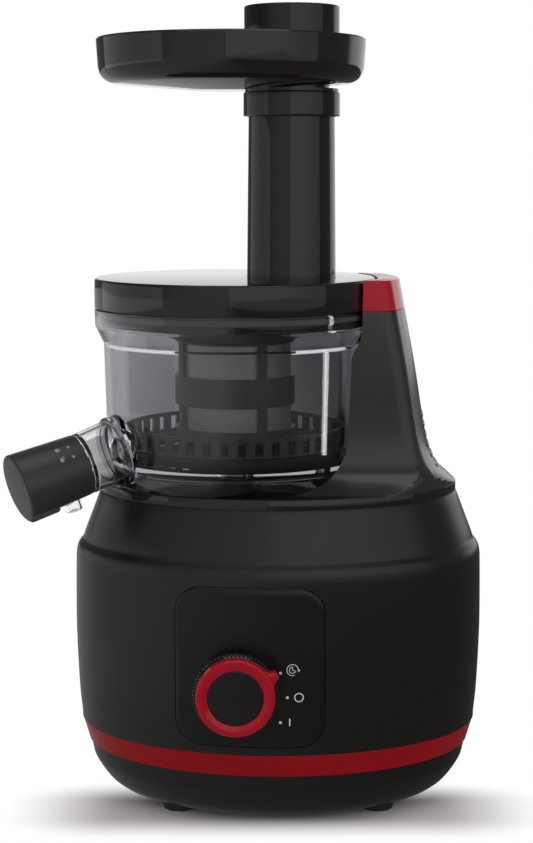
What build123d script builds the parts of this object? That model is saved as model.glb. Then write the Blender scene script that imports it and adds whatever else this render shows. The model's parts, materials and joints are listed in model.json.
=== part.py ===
from build123d import *
import os
from math import acos, cos, pi, radians, sin, tan

# Cold press juicer: an oval base with motor, gear train and switch, a glossy
# deck with a tower beside the bowl, and a clear bowl that holds the strainer,
# the auger and the turning brush. The lid carries the feed tube, the tray sits
# on the tube and the pusher stands in it.
# Lengths are millimetres. The modelling frame has the base's centre at x = y = 0
# and the table at z = 0; the finished part is moved so that its origin is the
# bottom centre of its bounding box.

# ---------------------------------------------------------------- driving sizes
# base shell
half_width = 104.4
half_depth = 75.2
foot_half_width = 83.5
base_bottom = 4.0
band_bottom = 27.0
band_height = 11.2
belly_height = 85.0
shoulder_height = 125.0
crease_height = 132.4
crease_half_width = 100.5
deck_height = 157.5
deck_thickness = 3.0
rim_half_width = 91.0
shell_wall = 2.8
floor_thickness = 2.5

# feet, fixings and fits
foot_radius = 8.0
foot_spread_x = 50.0
foot_spread_y = 38.0
foot_plug_radius = 4.0
foot_plug_height = 3.4
screw_radius = 1.5
screw_head_radius = 3.0
screw_head_height = 2.0
seat_gap = 0.3
bearing_gap = 0.05
hole_gap = 0.1

# control panel and knob
panel_width = 72.3
panel_height = 78.8
panel_x = -14.0
panel_z = 82.0
panel_corner = 12.5
panel_proud = 0.7
panel_depth = 1.4
knob_x = -20.7
knob_z = 72.0
knob_seat_y = -75.3
knob_seat_radius = 21.8
knob_skirt_radius = 21.0
knob_front_radius = 19.4
knob_depth = 11.0
knob_rib_count = 48
ring_radius = 18.9
ring_bore_radius = 13.4
ring_depth = 4.2
pointer_reach = 24.0
pointer_width = 4.6
knob_rest_angle = 30.0
knob_shaft_radius = 3.0
knob_shaft_length = 24.0
switch_width = 28.0
switch_height = 30.0
switch_depth = 20.0
switch_neck_radius = 7.0
switch_neck_length = 11.6
neck_outer_radius = 10.0

# bowl, on its own vertical axis
bowl_x = -22.0
bowl_foot_radius = 57.5
bowl_foot_height = 3.4
bowl_low_radius = 60.2
bowl_ledge_radius = 65.2
bowl_ledge_height = 24.5
bowl_top_radius = 66.6
bowl_collar_radius = 71.0
bowl_wall = 2.6
bowl_height = 92.7
collar_depth = 8.7
collar_flare = 8.5
bowl_floor_height = 17.0
bowl_floor_thickness = 2.5
hub_radius = 9.5

# pulp duct, under the bowl's floor at the back
duct_width = 24.0
duct_height = 7.5
duct_wall = 2.0
duct_start = 16.0
duct_reach = 84.0
pulp_hole_width = 18.0
pulp_hole_start = 19.0
pulp_hole_length = 10.0

# juice spout and its twist cap
spout_yaw = 27.0
spout_pitch = 15.8
spout_rise = 23.5
spout_wall_radius = 65.0
spout_boss_radius = 18.0
spout_inlet_radius = 6.6
spout_flange_radius = 17.6
spout_flange_thickness = 2.6
spout_cone_radius = 15.6
spout_tube_radius = 12.6
spout_cone_length = 20.0
spout_length = 48.0
spout_wall = 1.8
cap_length = 35.0
cap_open_radius = 15.4
cap_end_radius = 16.9
cap_twist = 60.0
nozzle_at = 30.0
nozzle_radius = 4.2
nozzle_wall = 1.1
nozzle_reach = 20.5

# strainer
strainer_radius = 30.7
strainer_wall = 2.0
strainer_floor_thickness = 2.5
strainer_hole_radius = 15.8
strainer_top_height = 76.0
window_count = 4
window_angle = 80.0
window_low_start = 32.3
window_low_height = 12.0
window_high_start = 58.8
window_high_height = 15.9
mesh_thickness = 0.5
funnel_radius = 57.5
funnel_rise = 7.5
funnel_rim_height = 5.0
leg_radius = 3.0
leg_circle = 23.0

# auger
auger_core_bottom = 14.0
auger_core_top = 9.0
flight_count = 3
flight_width = 4.2
flight_turn = 200.0
flight_height = 46.0
auger_gap = 0.8
auger_pin_radius = 3.6
auger_pin_length = 8.0
hex_across_flats = 10.0
hex_gap = 0.25
hex_height = 33.0

# brush cage that turns between strainer and bowl
cage_radius = 56.0
cage_wall = 1.6
cage_slot_count = 42
cage_slot_height = 8.5
cage_height = 57.0
blade_thickness = 1.6

# gears in the bowl
bowl_module = 1.5
sun_teeth = 18
idler_teeth = 24
ring_teeth = 66
bowl_gear_width = 6.5
idler_pin_radius = 3.0

# gear train in the base
drive_module = 1.25
drive_teeth = 54
small_teeth = 14
motor_module = 1.0
large_teeth = 48
pinion_teeth = 12
drive_gear_width = 10.0
large_gear_width = 7.0
gear_air = 4.0
drive_shaft_radius = 6.0
layshaft_radius = 2.5
motor_shaft_radius = 3.0
gearbox_plate = 3.0
gearbox_hub_room = 6.5
gearbox_wall = 2.0
gear_backlash = 0.2

# motor
motor_radius = 31.0
motor_wall = 1.2
motor_bottom = 24.0
motor_top = 100.0
motor_post_height = 5.5
stator_radius = 29.0
stator_bore = 18.0
stator_bottom = 46.0
stator_height = 34.0
rotor_radius = 17.3
fan_radius = 23.0
fan_blades = 8

# tower and its cap
tower_wall = 2.6
deck_post_circle = 30.0
recess_gap = 1.3
tower_cap_height = 16.5
tower_cap_step = 0.7
tower_top_right = 60.6
vent_rise = 10.0
vent_height = 30.0
vent_half_width = 15.0
vent_depth = 5.0
louvre_count = 6

# lid and feed tube
lid_radius = 71.0
lid_height = 15.0
lid_wall = 3.0
spigot_radius = 67.4
spigot_wall = 2.4
spigot_depth = 6.5
tube_offset = 28.6
tube_radius = 22.5
tube_top_radius = 21.5
tube_bore_radius = 19.4
tube_height = 92.6

# tray and pusher
tray_offset = -30.2
tray_radius = 67.2
tray_floor_radius = 52.0
tray_depth = 23.0
tray_wall = 2.2
collar_radius = 24.2
collar_drop = 15.0
neck_radius = 23.4
neck_height = 3.2
pusher_radius = 18.8
pusher_wall = 2.0
pusher_length = 92.0
pusher_cap_radius = 23.8
pusher_cap_height = 38.5
pusher_cap_wall = 2.2

pressure_angle = radians(25.0)
addendum = 0.8
dedendum = 1.1

# ---------------------------------------------------------------- derived places
band_top = band_bottom + band_height
deck_top = deck_height + deck_thickness
bowl_base = deck_height
bowl_floor = bowl_base + bowl_floor_height
bowl_rim = bowl_base + bowl_height
bowl_collar_height = bowl_height - collar_depth
bowl_shoulder_height = bowl_collar_height - collar_flare
spout_height = bowl_base + spout_rise
lid_bottom = bowl_rim + seat_gap
lid_top = lid_bottom + lid_height
tower_cap_top = lid_top - tower_cap_step
tower_cap_bottom = tower_cap_top - tower_cap_height
vent_bottom = deck_top + vent_rise
tube_x = bowl_x + tube_offset
tube_top = lid_top + tube_height
tray_x = tube_x + tray_offset
tray_floor = tube_top + seat_gap + tray_wall
tray_rim = tray_floor + tray_depth

drive_pitch = drive_module * drive_teeth / 2
small_pitch = drive_module * small_teeth / 2
large_pitch = motor_module * large_teeth / 2
pinion_pitch = motor_module * pinion_teeth / 2
layshaft_x = bowl_x + drive_pitch + small_pitch
motor_x = layshaft_x + large_pitch + pinion_pitch
well_bottom = deck_height - 3.9
gearbox_cover_top = well_bottom - screw_head_height - 2 * seat_gap
gearbox_top = gearbox_cover_top - gearbox_plate
drive_gear_height = gearbox_top - gear_air - drive_gear_width
large_gear_height = drive_gear_height - large_gear_width - gear_air - 1.5
gearbox_floor = large_gear_height - gearbox_hub_room - gearbox_plate

sun_pitch = bowl_module * sun_teeth / 2
idler_pitch = bowl_module * idler_teeth / 2
ring_pitch = bowl_module * ring_teeth / 2
idler_x = bowl_x + sun_pitch + idler_pitch
gear_bottom = bowl_floor + seat_gap + 0.4
gear_top = gear_bottom + bowl_gear_width
strainer_floor = gear_top + 1.5
hex_top = bowl_base + hex_height + 10.0


# ---------------------------------------------------------------- shared forms
def rod(radius, bottom, top, x=0.0, y=0.0):
    """Upright cylinder between two heights."""
    return Pos(x, y, (bottom + top) / 2) * Cylinder(radius, top - bottom)


def pipe(outer, inner, bottom, top, x=0.0, y=0.0):
    """Upright tube between two heights."""
    return rod(outer, bottom, top, x, y) - rod(inner, bottom - 1, top + 1, x, y)


def block(x0, x1, y0, y1, z0, z1):
    """Box between two corners."""
    return Pos((x0 + x1) / 2, (y0 + y1) / 2, (z0 + z1) / 2) * Box(x1 - x0, y1 - y0, z1 - z0)


def turned(corners, x=0.0, y=0.0):
    """Solid of revolution about an upright axis, from (radius, height) corners."""
    return Pos(x, y, 0) * revolve(Plane.XZ * make_face(Polyline(*corners, close=True)), Axis.Z)


def ring_of(piece, count, x=0.0, y=0.0, start=0.0):
    """Copies of a piece turned about an upright axis."""
    copies = []
    for i in range(count):
        copies.append(Pos(x, y, 0) * Rot(0, 0, start + 360.0 * i / count) * piece)
    return copies


def fused(pieces):
    """One shape from a list of touching or overlapping pieces."""
    whole = pieces[0]
    for piece in pieces[1:]:
        whole = whole + piece
    return whole


def group(pieces):
    """Separate like solids kept together in one node."""
    return Compound([solid for piece in pieces for solid in piece.solids()])


def gear_face(module, teeth, phase=0.0, tip=addendum, root=dedendum, backlash=gear_backlash):
    """Involute gear outline with its first tooth centred at phase (radians)."""
    pitch = module * teeth / 2
    base = pitch * cos(pressure_angle)
    roll = tan(pressure_angle) - pressure_angle
    half = pi / (2 * teeth) - backlash / (2 * pitch)

    def half_angle(radius):
        angle = acos(min(1.0, base / radius))
        return half + roll - (tan(angle) - angle)

    radii = [pitch - root * module, pitch, pitch + tip * module]
    points = []
    for i in range(teeth):
        middle = phase + 2 * pi * i / teeth
        rising = [(r, middle - half_angle(r)) for r in radii]
        falling = [(r, middle + half_angle(r)) for r in reversed(radii)]
        points += [(r * cos(a), r * sin(a)) for r, a in rising + falling]
    return make_face(Polyline(*points, close=True))


def spur_gear(module, teeth, bottom, width, x, y=0.0, phase=0.0):
    """External gear blank with its teeth, standing on an upright axis."""
    return Pos(x, y, bottom) * extrude(gear_face(module, teeth, phase), width)


def screw(x, y, head_z, length, up=True):
    """Cap screw: the head's seat is at head_z and the shank runs up or down from it."""
    way = 1 if up else -1
    shank_end = head_z + way * length
    head_end = head_z - way * screw_head_height
    head = rod(screw_head_radius, min(head_z, head_end), max(head_z, head_end), x, y)
    shank = rod(screw_radius, min(head_z, shank_end), max(head_z, shank_end), x, y)
    socket_bottom = min(head_end, head_end + way * 1.2)
    socket = Pos(x, y, socket_bottom) * extrude(RegularPolygon(1.3, 6), 1.2)
    return head + shank - socket


# ---------------------------------------------------------------- base shell
def oval(height, reach, inset):
    """Level outline of the base: an ellipse drawn in by inset."""
    return Pos(0, 0, height) * Ellipse(reach - inset, reach * half_depth / half_width - inset)


def base_body(inset):
    """Whole oval base form, drawn in by inset all round and open to no side."""
    neck = shoulder_height - inset
    crease = crease_height + 3.6 - inset
    belly = [
        (base_bottom, foot_half_width),
        (base_bottom + 3.4, foot_half_width + 4.9),
        (band_bottom - 1.0, half_width - 6.2),
        (band_top + 2.0, half_width - 2.5),
        (belly_height, half_width),
        ((belly_height + neck) / 2 + 5.0, half_width - 0.1),
        (neck, half_width - 0.5),
    ]
    shoulder = [
        (neck, half_width - 0.5),
        (neck + 4.6, half_width - 1.5),
        (crease_height - inset, crease_half_width),
        (crease, crease_half_width - 1.2),
    ]
    upper = [(crease, crease_half_width - 1.2), (deck_height, rim_half_width)]
    form = loft([oval(z, reach, inset) for z, reach in belly])
    form += loft([oval(z, reach, inset) for z, reach in shoulder])
    form += loft([oval(z, reach, inset) for z, reach in upper], ruled=True)
    return form


def slab(bottom, top):
    """Wide plate used to cut a level out of the base."""
    return block(-150, 150, -150, 150, bottom, top)


def foot_places():
    return [(sx * foot_spread_x, sy * foot_spread_y) for sx in (-1, 1) for sy in (-1, 1)]


def cover_screw_places():
    return [(-72.0, 0.0), (-26.0, -46.0), (-26.0, 46.0), (16.0, -46.0), (16.0, 46.0)]


def make_base_shell(nodes):
    outer = base_body(0)
    inner = base_body(shell_wall)
    shell = outer - inner

    # bottom cover: floor, wall up to the band, bosses and the motor's cup
    floor = (outer & slab(base_bottom, base_bottom + floor_thickness))
    cover = (shell & slab(base_bottom, band_bottom)) + floor
    cup_top = motor_bottom - 4.0
    cover += pipe(motor_radius + 1.5, motor_radius - 2.0, base_bottom, cup_top, motor_x)
    for x, y in foot_places():
        cover -= rod(foot_plug_radius + hole_gap, base_bottom - 1, base_bottom + floor_thickness + 1, x, y)
    for x, y in cover_screw_places():
        cover += rod(5.0, base_bottom, band_top, x, y)
        cover -= rod(screw_head_radius + 0.4, base_bottom - 1, base_bottom + 6.0, x, y)
        cover -= rod(screw_radius + hole_gap, base_bottom, band_top + 1, x, y)
    for i in range(7):
        slot_y = -18.0 + 6.0 * i
        slot = block(motor_x - 16.0, motor_x + 16.0, slot_y - 1.2, slot_y + 1.2, 0, base_bottom + floor_thickness + 1)
        cover -= slot
    board_x = board_place()
    for y in (-26.0, 26.0):
        post = block(board_x - 4.0, board_x + 4.0, y - 3.0, y + 3.0, base_bottom, board_bottom() + 10.0)
        slot = block(board_x - 0.9, board_x + 0.9, y - 4.0, y + 4.0, board_bottom(), board_bottom() + 11.0)
        cover += post - slot
    nodes["bottom_cover"] = cover

    feet = []
    for x, y in foot_places():
        pad = turned([(0, 0), (foot_radius - 1, 0), (foot_radius, 1), (foot_radius, base_bottom),
                      (foot_plug_radius, base_bottom), (foot_plug_radius, base_bottom + foot_plug_height),
                      (0, base_bottom + foot_plug_height)], x, y)
        feet.append(pad)
    nodes["rubber_feet"] = group(feet)

    nodes["accent_band"] = shell & slab(band_bottom, band_top)

    # main housing: from the band to the deck, with the panel's pocket and bosses
    housing = shell & slab(band_top, deck_height)
    housing -= panel_form(0.0, 10.0)
    housing -= knob_tunnel(neck_outer_radius + hole_gap)
    lug_limit = base_body(shell_wall * 0.6)
    for x, y in cover_screw_places():
        boss_top = band_top + 16.0
        lug = block(min(x, x * 1.35), max(x, x * 1.35), y - 4.0, y + 4.0, band_top, boss_top)
        if abs(y) > 1:
            lug = block(x - 4.0, x + 4.0, min(y, y * 1.7), max(y, y * 1.7), band_top, boss_top)
        lug = lug & lug_limit
        housing += (lug + rod(5.0, band_top, boss_top, x, y)) - rod(screw_radius + hole_gap, band_top - 1, boss_top - 2, x, y)
    housing -= Pos(0, half_depth, inlet_height) * Rot(90, 0, 0) * Cylinder(inlet_radius + hole_gap, 30)
    nodes["main_housing"] = housing

    screws = [screw(x, y, base_bottom + 6.0, band_top + 12.0 - base_bottom - 6.0) for x, y in cover_screw_places()]
    nodes["cover_screws"] = group(screws)

    grommet = Pos(0, inlet_y, inlet_height) * Rot(90, 0, 0) * (Cylinder(inlet_radius, 8.0) - Cylinder(inlet_bore, 10.0))
    flange = Pos(0, inlet_y + 4.6, inlet_height) * Rot(90, 0, 0) * (Cylinder(inlet_radius + 2.0, 2.4) - Cylinder(inlet_bore, 10.0))
    nodes["cord_inlet_bush"] = grommet + flange


inlet_height = 52.0
inlet_radius = 6.0
inlet_bore = 3.8
inlet_y = half_depth - 1.6


def board_place():
    return -58.0


def board_bottom():
    return base_bottom + floor_thickness + 6.0


# ---------------------------------------------------------------- control panel
def panel_prism(grow, reach):
    """Rounded square bar through the front wall of the base."""
    outline = RectangleRounded(panel_width + 2 * grow, panel_height + 2 * grow, panel_corner + grow)
    bar = extrude(Plane.XZ * outline, reach)
    return Pos(panel_x, 0, panel_z) * bar


def panel_form(proud, reach):
    """Bar limited to the layer between the panel's back and its face."""
    bar = panel_prism(0.0, half_depth + reach)
    back = base_body(panel_depth)
    if reach > 0 and proud == 0.0:
        return bar - back
    return (bar - back) & base_body(-proud)


def knob_tunnel(radius):
    """Way through the front wall for the switch's neck."""
    return Pos(knob_x, knob_seat_y, knob_z) * Rot(90, 0, 0) * Cylinder(radius, 40)


def make_panel(nodes):
    panel = panel_form(panel_proud, 10.0)
    seat_back = knob_seat_y + 7.0
    seat_middle = (knob_seat_y + seat_back) / 2
    seat = Pos(knob_x, seat_middle, knob_z) * Rot(90, 0, 0) * Cylinder(knob_seat_radius, seat_back - knob_seat_y)
    keep = panel_prism(0.0, half_depth + 10.0)
    panel += (seat & keep) - base_body(panel_depth)
    front = knob_seat_y + switch_neck_length
    neck = Pos(knob_x, (front + seat_back - 3.0) / 2, knob_z) * Rot(90, 0, 0) * Cylinder(
        neck_outer_radius, front - seat_back + 3.0)
    panel += neck
    panel -= knob_tunnel(switch_neck_radius + hole_gap)
    dish = Pos(knob_x, knob_seat_y - 10.0, knob_z) * Rot(90, 0, 0) * Cylinder(knob_seat_radius, 20.0)
    nodes["control_panel"] = panel - dish

    switch_body = block(knob_x - switch_width / 2, knob_x + switch_width / 2, front, front + switch_depth,
                        knob_z - switch_height / 2, knob_z + switch_height / 2)
    neck_back = Pos(knob_x, (front + knob_seat_y) / 2, knob_z) * Rot(90, 0, 0) * Cylinder(switch_neck_radius, front - knob_seat_y)
    shaft_hole = Pos(knob_x, front, knob_z) * Rot(90, 0, 0) * Cylinder(knob_shaft_radius + bearing_gap, 60)
    switch = switch_body + neck_back
    for i in range(3):
        z = knob_z - 8.0 + 8.0 * i
        switch += block(knob_x - 8.0, knob_x - 7.2, front + switch_depth, front + switch_depth + 8.0, z - 2.5, z + 2.5)
    nodes["rotary_switch"] = switch - shaft_hole


def knob_place(piece):
    """Stand a piece made along +Z on the knob's axis, pointing out of the panel."""
    return Pos(knob_x, knob_seat_y - seat_gap, knob_z) * Rot(90, 0, 0) * piece


def make_knob(nodes):
    skirt = revolve(Plane.XZ * make_face(Polyline(
        (0, 0), (knob_skirt_radius, 0), (knob_skirt_radius, 1.5), (knob_front_radius, knob_depth),
        (0, knob_depth), close=True)), Axis.Z)
    groove = Pos(knob_skirt_radius + 0.5, 0, knob_depth / 2 - 1) * Rot(0, -6.5, 0) * Cylinder(0.75, knob_depth * 1.4)
    for cut in ring_of(groove, knob_rib_count):
        skirt -= cut
    skirt -= Pos(0, 0, 1.0) * Cylinder(knob_skirt_radius - 3.0, 7.0) - Cylinder(5.5, 20)
    skirt += Pos(0, 0, 4.0) * Cylinder(5.5, 8.0)
    skirt -= Pos(0, 0, 2.0) * Cylinder(knob_shaft_radius, 14.0)
    nodes["knob_body"] = knob_place(skirt)

    shaft = Pos(0, 0, 9.0 - knob_shaft_length / 2) * Cylinder(knob_shaft_radius, knob_shaft_length)
    nodes["knob_shaft"] = knob_place(shaft)

    ring = revolve(Plane.XZ * make_face(Polyline(
        (ring_bore_radius, knob_depth), (ring_radius, knob_depth), (ring_radius, knob_depth + ring_depth - 1.2),
        (ring_radius - 1.4, knob_depth + ring_depth), (ring_bore_radius + 1.2, knob_depth + ring_depth),
        (ring_bore_radius, knob_depth + ring_depth - 1.0), close=True)), Axis.Z)
    nub = Polyline((ring_radius - 2.0, -4.6), (pointer_reach - 2.6, -pointer_width / 2 + 0.4),
                   (pointer_reach - 0.4, -pointer_width / 2), (pointer_reach, 0),
                   (pointer_reach - 0.4, pointer_width / 2), (pointer_reach - 2.6, pointer_width / 2 - 0.4),
                   (ring_radius - 2.0, 4.6), close=True)
    pointer = Pos(0, 0, knob_depth) * extrude(make_face(nub), ring_depth - 0.8)
    nodes["knob_ring"] = knob_place(ring + Rot(0, 0, knob_rest_angle) * pointer)

    insert = Pos(0, 0, knob_depth + ring_depth / 2 - 0.5) * Cylinder(ring_bore_radius, ring_depth - 1.0)
    nodes["knob_insert"] = knob_place(insert)


# ---------------------------------------------------------------- deck and tower
def tower_levels():
    """Heights with the tower's right reach and its half depth."""
    return [
        (deck_height - 1.0, rim_half_width + 1.0, 66.0),
        (deck_top, rim_half_width - 1.6, 59.0),
        (deck_top + 3.0, rim_half_width - 3.8, 54.2),
        (deck_top + 7.0, rim_half_width - 6.4, 50.7),
        (deck_top + 12.0, rim_half_width - 9.6, 48.0),
        (deck_top + 20.0, rim_half_width - 13.4, 45.6),
        (deck_top + 34.0, rim_half_width - 17.4, 43.2),
        (deck_top + 58.0, rim_half_width - 21.9, 40.2),
        (tower_cap_bottom, tower_top_right + 2.7, 37.6),
        (tower_cap_top + 12.0, tower_top_right - 2.2, 34.9),
    ]



def tower_section(height, right, depth, inset):
    """One level of the tower: flat front and back, rounded corners, bowed right side."""
    r = right - inset
    d = depth - inset
    corner = 9.0
    bow = 6.0
    left = bowl_x + 30.0
    front = Line((left, -d), (r - bow - corner, -d))
    turn = ThreePointArc((r - bow - corner, -d), (r - bow - 2.2, -d + 2.6), (r - bow + 1.6, -d + corner + 1))
    side = ThreePointArc((r - bow + 1.6, -d + corner + 1), (r, 0), (r - bow + 1.6, d - corner - 1))
    back_turn = ThreePointArc((r - bow + 1.6, d - corner - 1), (r - bow - 2.2, d - 2.6), (r - bow - corner, d))
    back = Line((r - bow - corner, d), (left, d))
    close = Line((left, d), (left, -d))
    edges = front.edges() + turn.edges() + side.edges() + back_turn.edges() + back.edges() + close.edges()
    return Pos(0, 0, height) * make_face(edges)


def tower_form(inset):
    sections = [tower_section(z, right, depth, inset) for z, right, depth in tower_levels()]
    return loft(sections, ruled=True)


def bowl_clearance(extra):
    """Space that the bowl and lid sweep as they lift out, grown by extra."""
    g = recess_gap + extra
    return turned([
        (0, bowl_base - 20), (bowl_low_radius + g, bowl_base - 20), (bowl_low_radius + g, bowl_base + bowl_foot_height),
        (bowl_ledge_radius + g, bowl_base + bowl_ledge_height), (bowl_top_radius + g, bowl_base + bowl_shoulder_height - 4),
        (bowl_collar_radius + g, bowl_base + bowl_collar_height - 4), (bowl_collar_radius + g, tower_cap_top + 30),
        (0, tower_cap_top + 30)], bowl_x)


def deck_plate(inset, bottom, top):
    return extrude(oval(bottom, rim_half_width, inset), top - bottom)


def make_deck(nodes):
    rim = deck_plate(0.0, deck_height, tower_cap_top + 40)
    outer = (tower_form(0) & rim) - bowl_clearance(0)
    inner = (tower_form(tower_wall) & deck_plate(tower_wall, deck_height - 1, tower_cap_top + 40)) - bowl_clearance(tower_wall)
    shell = outer - inner

    seat = bowl_foot_radius + 0.4
    plate = deck_plate(0.0, deck_height, deck_top)
    plate = chamfer(plate.edges().group_by(Axis.Z)[-1], 0.6)
    plate = plate + (rod(seat + 2.2, well_bottom, deck_height, bowl_x) & deck_plate(shell_wall + seat_gap, well_bottom, deck_height))
    plate -= rod(seat, deck_height, deck_top + 1, bowl_x)
    plate += pipe(seal_radius() - 0.4, hex_clear_radius(), well_bottom, deck_height + 5.0, bowl_x)
    plate -= rod(hex_clear_radius(), well_bottom - 1, deck_top + 1, bowl_x)
    for post in ring_of(rod(4.0, gearbox_cover_top, well_bottom, deck_post_circle), 4, bowl_x, 0.0, 45.0):
        plate += post
    nodes["deck"] = plate - (inner & slab(deck_height - 1, deck_top + 1))
    tower = shell & slab(deck_top, tower_cap_bottom)
    vent_space = block(rim_half_width - 30, rim_half_width + 20, -vent_half_width, vent_half_width, vent_bottom, vent_bottom + vent_height)
    vent_band = tower_form(-1.0) - tower_form(vent_depth)
    vent_pocket = vent_space & vent_band
    nodes["tower"] = tower - vent_pocket

    # vent grille: a backed frame with louvres, let into the tower's right side
    vent_back = tower_form(vent_depth - 1.2) - tower_form(vent_depth)
    grille = vent_space & vent_back
    pitch = vent_height / louvre_count
    louvre_layer = tower_form(0.4) - tower_form(vent_depth)
    for i in range(louvre_count):
        z = vent_bottom + pitch * i
        bar = block(rim_half_width - 30, rim_half_width + 20, -vent_half_width, vent_half_width, z, z + pitch * 0.36)
        grille += bar & louvre_layer
    nodes["vent_grille"] = grille

    cap = outer & slab(tower_cap_bottom, tower_cap_top)
    cap -= inner & slab(tower_cap_bottom - 1, tower_cap_top - 2.4)
    nodes["tower_cap"] = cap

    sensor_x = bowl_x + bowl_collar_radius + recess_gap + tower_wall + seat_gap
    nodes["lid_sensor"] = block(sensor_x, sensor_x + 4.0, -8.0, 8.0, tower_cap_top - 15.0, tower_cap_top - 3.0)


# ---------------------------------------------------------------- gear train
def gearbox_outline(grow):
    """Outline round the three gear axes."""
    circles = [
        Pos(bowl_x, 0) * Circle(drive_pitch + 3.0 + grow),
        Pos(layshaft_x, 0) * Circle(large_pitch + 3.0 + grow),
        Pos(motor_x, 0) * Circle(pinion_pitch + 6.0 + grow),
    ]
    return make_hull([edge for circle in circles for edge in circle.edges()])


def gearbox_screw_places():
    reach = drive_pitch + 3.0 + gearbox_wall + 3.2
    places = []
    for angle in (100.0, 180.0, 260.0):
        places.append((bowl_x + reach * cos(radians(angle)), reach * sin(radians(angle))))
    side = large_pitch + 3.0 + gearbox_wall + 3.2
    places += [(layshaft_x + 4.0, -side), (layshaft_x + 4.0, side)]
    return places


def motor_post_places():
    return [(motor_x + 26.5 * cos(radians(a)), 26.5 * sin(radians(a))) for a in (45, 135, 225, 315)]


def make_gearbox(nodes):
    floor_top = gearbox_floor + gearbox_plate
    lower = Pos(0, 0, gearbox_floor) * extrude(gearbox_outline(gearbox_wall), gearbox_top - gearbox_floor)
    lower -= Pos(0, 0, floor_top) * extrude(gearbox_outline(0.0), gearbox_top)
    for x, y in gearbox_screw_places():
        lower += rod(4.2, gearbox_top - 14.0, gearbox_top, x, y) - Pos(0, 0, floor_top) * extrude(gearbox_outline(0.0), 40)
        lower -= rod(screw_radius + hole_gap, gearbox_top - 12.0, gearbox_top + 1, x, y)
    lower += rod(motor_radius, gearbox_floor, floor_top, motor_x)
    for x, y in motor_post_places():
        lower += rod(4.0, motor_top + 3.0 + motor_post_height, floor_top, x, y)
        lower -= rod(screw_radius + hole_gap, motor_top, floor_top - 1.0, x, y)
    lower -= rod(drive_shaft_radius + 3.0, gearbox_floor - 1, floor_top + 1, bowl_x)
    lower -= rod(layshaft_radius + 0.02, gearbox_floor - 1, floor_top + 1, layshaft_x)
    lower -= rod(motor_shaft_radius + 2.0, gearbox_floor - 1, floor_top + 1, motor_x)
    nodes["gearbox_housing"] = lower

    cover = Pos(0, 0, gearbox_top) * extrude(gearbox_outline(gearbox_wall), gearbox_plate)
    for x, y in gearbox_screw_places():
        cover += rod(4.2, gearbox_top, gearbox_cover_top, x, y)
        cover -= rod(screw_radius + hole_gap, gearbox_top - 1, gearbox_cover_top + 1, x, y)
    cover -= rod(drive_shaft_radius + 3.0, gearbox_top - 1, gearbox_cover_top + 1, bowl_x)
    cover -= rod(layshaft_radius + 0.02, gearbox_top - 1, gearbox_cover_top - 1, layshaft_x)
    nodes["gearbox_cover"] = cover
    heads = [screw(x, y, gearbox_cover_top, 12.0, up=False) for x, y in gearbox_screw_places()]
    nodes["gearbox_screws"] = group(heads)

    bush_bore = drive_shaft_radius + bearing_gap
    lower_bush = pipe(drive_shaft_radius + 3.0, bush_bore, gearbox_floor, floor_top + 2.0, bowl_x)
    upper_bush = pipe(drive_shaft_radius + 3.0, bush_bore, gearbox_top - 1.0, gearbox_cover_top, bowl_x)
    nodes["drive_bushes"] = group([lower_bush, upper_bush])
    nodes["layshaft_pin"] = rod(layshaft_radius, gearbox_floor, gearbox_cover_top - 1.0, layshaft_x)

    # output side: shaft with a hexagonal head, and the drive gear on it
    shaft = rod(drive_shaft_radius, gearbox_floor + 0.5, bowl_base + 8.0, bowl_x)
    hex_prism = extrude(RegularPolygon(hex_across_flats / 2, 6, major_radius=False), hex_top - bowl_base - 8.0)
    shaft += Pos(bowl_x, 0, bowl_base + 8.0) * hex_prism
    nodes["drive_shaft"] = chamfer(shaft.faces().sort_by(Axis.Z)[-1].edges(), 0.8)
    gear = spur_gear(drive_module, drive_teeth, drive_gear_height, drive_gear_width, bowl_x)
    gear += rod(11.0, floor_top + 2.3, drive_gear_height, bowl_x)
    gear -= pipe(drive_pitch - 5.0, 14.0, drive_gear_height + drive_gear_width - 3.0,
                 drive_gear_height + drive_gear_width + 1, bowl_x)
    nodes["drive_gear"] = gear - rod(drive_shaft_radius, floor_top, gearbox_top, bowl_x)

    # compound gear that runs on the layshaft pin
    large = spur_gear(motor_module, large_teeth, large_gear_height, large_gear_width, layshaft_x)
    small_phase = pi + pi / small_teeth
    small = spur_gear(drive_module, small_teeth, large_gear_height + large_gear_width,
                      drive_gear_height + drive_gear_width + 1.0 - large_gear_height - large_gear_width,
                      layshaft_x, 0.0, small_phase)
    compound = large + small + rod(6.0, floor_top + seat_gap, large_gear_height, layshaft_x)
    compound -= rod(layshaft_radius + bearing_gap, floor_top - 1, gearbox_top, layshaft_x)
    nodes["compound_gear"] = compound


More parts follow.
